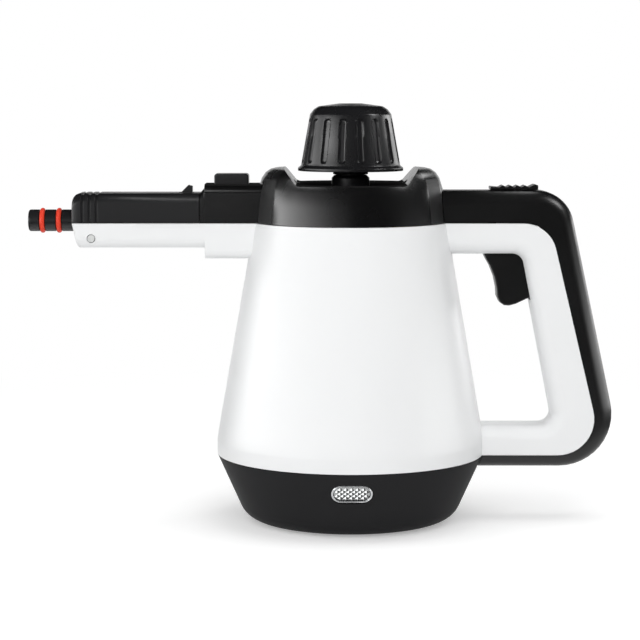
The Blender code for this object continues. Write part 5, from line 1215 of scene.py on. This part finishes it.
def show(item, edge=None, finish=None):
    """Put a finished piece in the frame in place of the CAD node whose name it has."""
    node = item.name.split(".")[0]
    slot = slots[node]
    put_in_frame(item, "look_" + node, finish or slot)
    item.data.shade_smooth()
    if edge:
        round_edges(item, *edge)
        normals = item.modifiers.new("normals", "WEIGHTED_NORMAL")
        normals.keep_sharp = True
    else:
        item.data.set_sharp_from_angle(angle=SHARP_ANGLE)
    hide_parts(node)
    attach(item, homes[node])
    return item


def filleted(profile, radius, steps=4):
    """Round every corner of an open (radius, z) profile, less where its sides are short."""
    points = [Vector(profile[0])]
    for before, corner, after in zip(profile, profile[1:], profile[2:]):
        before, corner, after = Vector(before), Vector(corner), Vector(after)
        back = before - corner
        ahead = after - corner
        reach = min(radius, back.length * SHORT_SIDE_SHARE, ahead.length * SHORT_SIDE_SHARE)
        start = corner + back.normalized() * reach
        end = corner + ahead.normalized() * reach
        for step in range(steps + 1):
            share = step / steps
            points.append(start * (1 - share) ** 2 + corner * 2 * share * (1 - share) + end * share ** 2)
    points.append(Vector(profile[-1]))
    return [(max(point.x, 0), point.y) for point in points]


def flute_depth(across, height, low, high):
    """Depth of a groove with round ends and a round floor, at a place on the skirt."""
    nearest = min(max(height, low + FLUTE_HALF_WIDTH), high - FLUTE_HALF_WIDTH)
    inside = 1 - math.hypot(across, height - nearest) / FLUTE_HALF_WIDTH
    if inside <= 0:
        return 0.0
    inside = min(inside * FLUTE_STEEPNESS, 1.0)
    return FLUTE_DEPTH * math.sqrt(1 - (1 - inside) ** 2)


def fine_cap():
    """The safety cap with its sixteen grooves, its flange and its domed crown."""
    low = CAP_SKIRT_Z + FLUTE_FOOT
    high = CAP_SHOULDER_Z - FLUTE_HEAD
    foot = filleted([(CAP_FLANGE_RADIUS - CAP_WALL, CAP_BOTTOM_Z), (CAP_FLANGE_RADIUS, CAP_BOTTOM_Z),
                     (CAP_FLANGE_RADIUS, CAP_FLANGE_TOP_Z), (CAP_SKIRT_RADIUS, CAP_SKIRT_Z),
                     (skirt_radius(low), low)], FLANGE_FILLET)
    levels = [low + (high - low) * row / FLUTE_ROWS for row in range(1, FLUTE_ROWS)]
    crown = filleted([(skirt_radius(high), high), (CAP_SHOULDER_RADIUS, CAP_SHOULDER_Z),
                      (CAP_CHAMFER_RADIUS, CAP_CHAMFER_Z), (CAP_EDGE_RADIUS, CAP_EDGE_Z),
                      (CAP_CROWN_RADIUS, CAP_TOP_Z), (CROWN_CENTRE_RADIUS, CAP_TOP_Z)],
                     CROWN_FILLET, CROWN_FILLET_STEPS)
    rings = []
    steps = FLUTE_COUNT * FLUTE_STEPS
    for radius, z in foot + [(skirt_radius(z), z) for z in levels] + crown:
        ring = []
        for step in range(steps):
            angle = 2 * math.pi * step / steps
            turn = ((step / FLUTE_STEPS) % 1 - 0.5) * 2 * math.pi / FLUTE_COUNT
            reach = radius - (flute_depth(turn * radius, z, low, high) if low < z < high else 0)
            ring.append((reach * math.cos(angle), reach * math.sin(angle), z))
        rings.append(ring)
    cap = loft("cap_shell", rings)
    ceiling = CAP_CHAMFER_Z - CAP_WALL / 2
    inner = CAP_SKIRT_RADIUS - CAP_WALL / 2
    hollow = lathe("hollow", (
        (0, CAP_BOTTOM_Z - OVERRUN), (inner, CAP_BOTTOM_Z - OVERRUN), (inner, CAP_FLANGE_TOP_Z),
        (CAP_SKIRT_RADIUS - CAP_WALL, CAP_SKIRT_Z), (CAP_SHOULDER_RADIUS - CAP_WALL, CAP_SHOULDER_Z),
        (CAP_EDGE_RADIUS - CAP_WALL, ceiling), (0, ceiling)), BODY_FACETS)
    return cut(cap, hollow)


def lens_relief():
    """A plate of small four-sided prisms inside the lamp's window."""
    edge_z = LENS_EDGE_Z + LENS_CROWN / 2
    half_x = LENS_PITCH_X / 2
    half_y = LENS_PITCH_Y / 2
    count_x = int(WINDOW_LENGTH / LENS_PITCH_X) + 1
    count_y = int(WINDOW_HEIGHT / LENS_PITCH_Y) + 1
    radius = WINDOW_HEIGHT / 2
    bm = bmesh.new()
    for row in range(-2 * count_y, 2 * count_y + 1):
        for column in range(-count_x, count_x + 1):
            x = (column + (0.5 if row % 2 else 0.0)) * LENS_PITCH_X
            y = row * half_y
            past = max(abs(x) - (WINDOW_LENGTH / 2 - radius), 0)
            if math.hypot(past, y) > radius - half_y:
                continue
            corners = ((x + half_x, y), (x, y + half_y), (x - half_x, y), (x, y - half_y))
            low = [bm.verts.new((a, b, edge_z)) for a, b in corners]
            tip = bm.verts.new((x, y, edge_z + LENS_RELIEF))
            for index in range(4):
                bm.faces.new((low[index], low[(index + 1) % 4], tip))
            bm.faces.new(list(reversed(low)))
    return object_from("lens relief", bm, solid=False)


def rim_bead():
    """The thin bright line round the lamp's window."""
    outline = stadium(LAMP_LENGTH - LAMP_RIM, LAMP_HEIGHT - LAMP_RIM)
    bead = sweep("bead", [(x, y, -LAMP_SINK) for x, y in outline + outline[:1]], RIM_BEAD)
    bead.data.shade_smooth()
    return bead


# Visible pieces
for piece in (*body_shells(), handle_spine()):
    show(piece, SOFT_EDGE)
collar = show(top_housing(), COLLAR_EDGE)
collar.data.materials.append(finishes["dish_black"])
collar.data.materials.append(finishes["facet_black"])
for face in collar.data.polygons:
    along, across, up = face.normal
    if up > DISH_FACE_UP and abs(face.center.z - LIP_Z) < DISH_FACE_RISE:
        face.material_index = 1
    elif CHEEK_FACE_ALONG[0] < abs(along) < CHEEK_FACE_ALONG[1] and abs(across) > CHEEK_FACE_ACROSS:
        face.material_index = 2
for piece in (dish_seal(), nozzle_cover(), *nozzle_parts()):
    show(piece, None if piece.name.startswith("o_ring") else CRISP_EDGE)
for piece in (trigger_blade(), lock_slider(), latch_lever()):
    show(piece, SOFT_EDGE)
for piece in base_parts():
    show(piece, None if piece.name.startswith("lamp_lens") else SOFT_EDGE,
         "base_black" if piece.name.startswith("base_shell") else None)
for piece, name, slot in ((lens_relief(), "look_lens_relief", "clear_lens"),
                          (rim_bead(), "look_rim_bead", "chrome_trim")):
    piece.matrix_world = base_wall_frame(LAMP_Z, -1)
    put_in_frame(piece, name, slot)
    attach(piece, "root")
show(fine_cap(), finish="cap_black")
low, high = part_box("cap_spring")
cap_spring = show(coil("cap_spring", low.z + CAP_SPRING_WIRE, high.z - low.z - 2 * CAP_SPRING_WIRE,
                       CAP_SPRING_TURNS, PLUG_BOSS_RADIUS + FIT + CAP_SPRING_WIRE, CAP_SPRING_WIRE))
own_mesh(cap_spring)
show(filler_neck(), SOFT_EDGE)
for piece in shell_screws():
    show(piece, CRISP_EDGE)
for name, node in frame["nodes"].items():
    node.data.materials.clear()
    node.data.materials.append(finishes[slots[name]])


# Studio
def seen_ray(tree):
    """One for what the camera sees directly, in a reflection or through glass."""
    path = tree.nodes.new("ShaderNodeLightPath").outputs
    first = add_node(tree, "Math", {0: path["Is Camera Ray"], 1: path["Is Glossy Ray"]}, operation="MAXIMUM")
    return add_node(tree, "Math", {0: first, 1: path["Is Transmission Ray"]}, operation="MAXIMUM")


def floor_material():
    """Pale cloth that keeps the object's shadow near it and fades to plain white further out."""
    material, tree = new_material("floor")
    seen = seen_ray(tree)
    lift = add_node(tree, "Math", {0: seen, 1: FLOOR_LIFT}, operation="MULTIPLY")
    glow = add_node(tree, "Emission", {"Strength": lift})
    cloth = add_node(tree, "BsdfDiffuse", {"Color": FLOOR_COLOUR})
    near = add_node(tree, "AddShader", {0: glow, 1: cloth})
    far = add_node(tree, "MixShader", {0: seen, 1: cloth, 2: add_node(tree, "Emission")})
    place = add_node(tree, "TexCoord", output="Object")
    length = add_node(tree, "VectorMath", {0: place}, "Value", operation="LENGTH")
    spread = add_node(tree, "MapRange", {"From Min": FLOOR_FADE_START, "From Max": FLOOR_FADE_END,
                                         "Value": length}, "Result", interpolation_type="SMOOTHSTEP")
    blend = add_node(tree, "MixShader", {0: spread, 1: near, 2: far})
    feed(tree, tree.nodes["Material Output"], {"Surface": blend})
    return material


def flag_material():
    """Dark cloth of the screens that keep reflections out of the black plastic."""
    material, tree = new_material("flag")
    feed(tree, tree.nodes["Principled BSDF"], {"Base Color": FLAG_COLOUR, "Roughness": 1.0,
                                               "Specular IOR Level": 0.0})
    return material


def stage_piece(name, rows, material):
    """Lay a sheet through rows of points and mark it as part of the stage."""
    bm = bmesh.new()
    rows = [[bm.verts.new(point) for point in row] for row in rows]
    for low, high in zip(rows, rows[1:]):
        for step in range(len(low) - 1):
            bm.faces.new((low[step], low[step + 1], high[step + 1], high[step]))
    item = object_from(name, bm, solid=False)
    item.data.materials.append(material)
    item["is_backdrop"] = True
    return item


def around(azimuth, radius):
    """A place on a circle round the object, its azimuth counted to the right from the camera's side."""
    angle = math.radians(azimuth)
    return radius * math.sin(angle), -radius * math.cos(angle)


def only_reflected(item):
    item.visible_camera = False
    item.visible_diffuse = False
    item.visible_shadow = False
    item.visible_transmission = False


def flags():
    """Dark screens round the set, over it and under it, which only reflections can see."""
    dark = flag_material()
    turns = [2 * step / FLAG_STEPS - 1 for step in range(FLAG_STEPS + 1)]
    sheets = {"roof flag": [[(x, y, FLAG_TOP) for x in (-FLAG_RADIUS, FLAG_RADIUS)]
                            for y in (-FLAG_RADIUS, FLAG_RADIUS)]}
    for name, spread, edges in (
            ("front flag", FLAG_SPREAD, ((FLAG_RADIUS, FLAG_BOTTOM), (FLAG_RADIUS, FLAG_OPEN_TOP))),
            ("high flag", HALF_TURN, ((FLAG_RADIUS, FLAG_OPEN_TOP), (FLAG_RADIUS, FLAG_TOP))),
            ("ground flag", FLAG_SPREAD, ((FLAG_RADIUS, FLAG_LIFT), (FLAG_INNER_RADIUS, FLAG_LIFT)))):
        sheets[name] = [[(*around(spread * turn, radius), height) for turn in turns]
                        for radius, height in edges]
    for name, rows in sheets.items():
        only_reflected(stage_piece(name, rows, dark))


def rise_and_fall(value, start, full, last, end):
    """Zero outside start and end, one between full and last, smooth on the way."""
    share = (value - start) / (full - start) if value < full else (end - value) / (end - last)
    share = min(max(share, 0), 1)
    return share * share * (3 - 2 * share)


def card_material():
    """A glow whose strength each corner of the card holds."""
    material, tree = new_material("card")
    strength = add_node(tree, "Attribute", output="Fac", attribute_name="glow")
    glow = add_node(tree, "Emission", {"Strength": strength})
    both = add_node(tree, "AddShader", {0: glow, 1: add_node(tree, "BsdfTransparent")})
    feed(tree, tree.nodes["Material Output"], {"Surface": both})
    return material


def card(name, sides, heights, strength, radius, centre, material):
    rows = []
    glows = []
    for row in range(CARD_ROWS + 1):
        elevation = heights[0] + (heights[3] - heights[0]) * row / CARD_ROWS
        level = math.radians(elevation)
        points = []
        for column in range(CARD_COLUMNS + 1):
            azimuth = sides[0] + (sides[3] - sides[0]) * column / CARD_COLUMNS
            x, y = around(azimuth, radius * math.cos(level))
            points.append((centre[0] + x, y, centre[1] + radius * math.sin(level)))
            glows.append(strength * rise_and_fall(azimuth, *sides) * rise_and_fall(elevation, *heights))
        rows.append(points)
    item = stage_piece(name, rows, material)
    glow = item.data.attributes.new("glow", "FLOAT", "POINT")
    glow.data.foreach_set("value", glows)
    only_reflected(item)


def softbox(name, azimuth, distance, height, width, tall, power):
    light = bpy.data.lights.new(name, "AREA")
    light.shape = "RECTANGLE"
    light.size = width
    light.size_y = tall
    light.energy = power
    item = bpy.data.objects.new(name, light)
    item.location = (*around(azimuth, distance), height)
    aim = Vector(LAMP_AIM) - item.location
    item.rotation_euler = aim.to_track_quat("-Z", "Y").to_euler()
    item.visible_camera = False
    item.visible_glossy = False
    bpy.context.scene.collection.objects.link(item)


def surroundings():
    """White to look at, and a plain grey for the light that it casts."""
    world = bpy.data.worlds.new("studio")
    world.use_nodes = True
    tree = world.node_tree
    plain = tree.nodes["Background"]
    feed(tree, plain, {"Color": WHITE, "Strength": WORLD_LIGHT})
    white = add_node(tree, "Background", {"Color": WHITE})
    blend = add_node(tree, "MixShader", {0: seen_ray(tree), 1: plain.outputs[0], 2: white})
    feed(tree, tree.nodes["World Output"], {"Surface": blend})
    bpy.context.scene.world = world


surroundings()
edges = (-FLOOR_REACH, FLOOR_REACH)
stage_piece("floor", [[(x, y, 0) for x in edges] for y in edges], floor_material())
flags()
glowing = card_material()
for name, sizes in CARDS.items():
    card(name, *sizes, glowing)
for name, sizes in SOFTBOXES.items():
    softbox(name, *sizes)
bpy.context.scene.view_settings.view_transform = "Standard"

low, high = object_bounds()
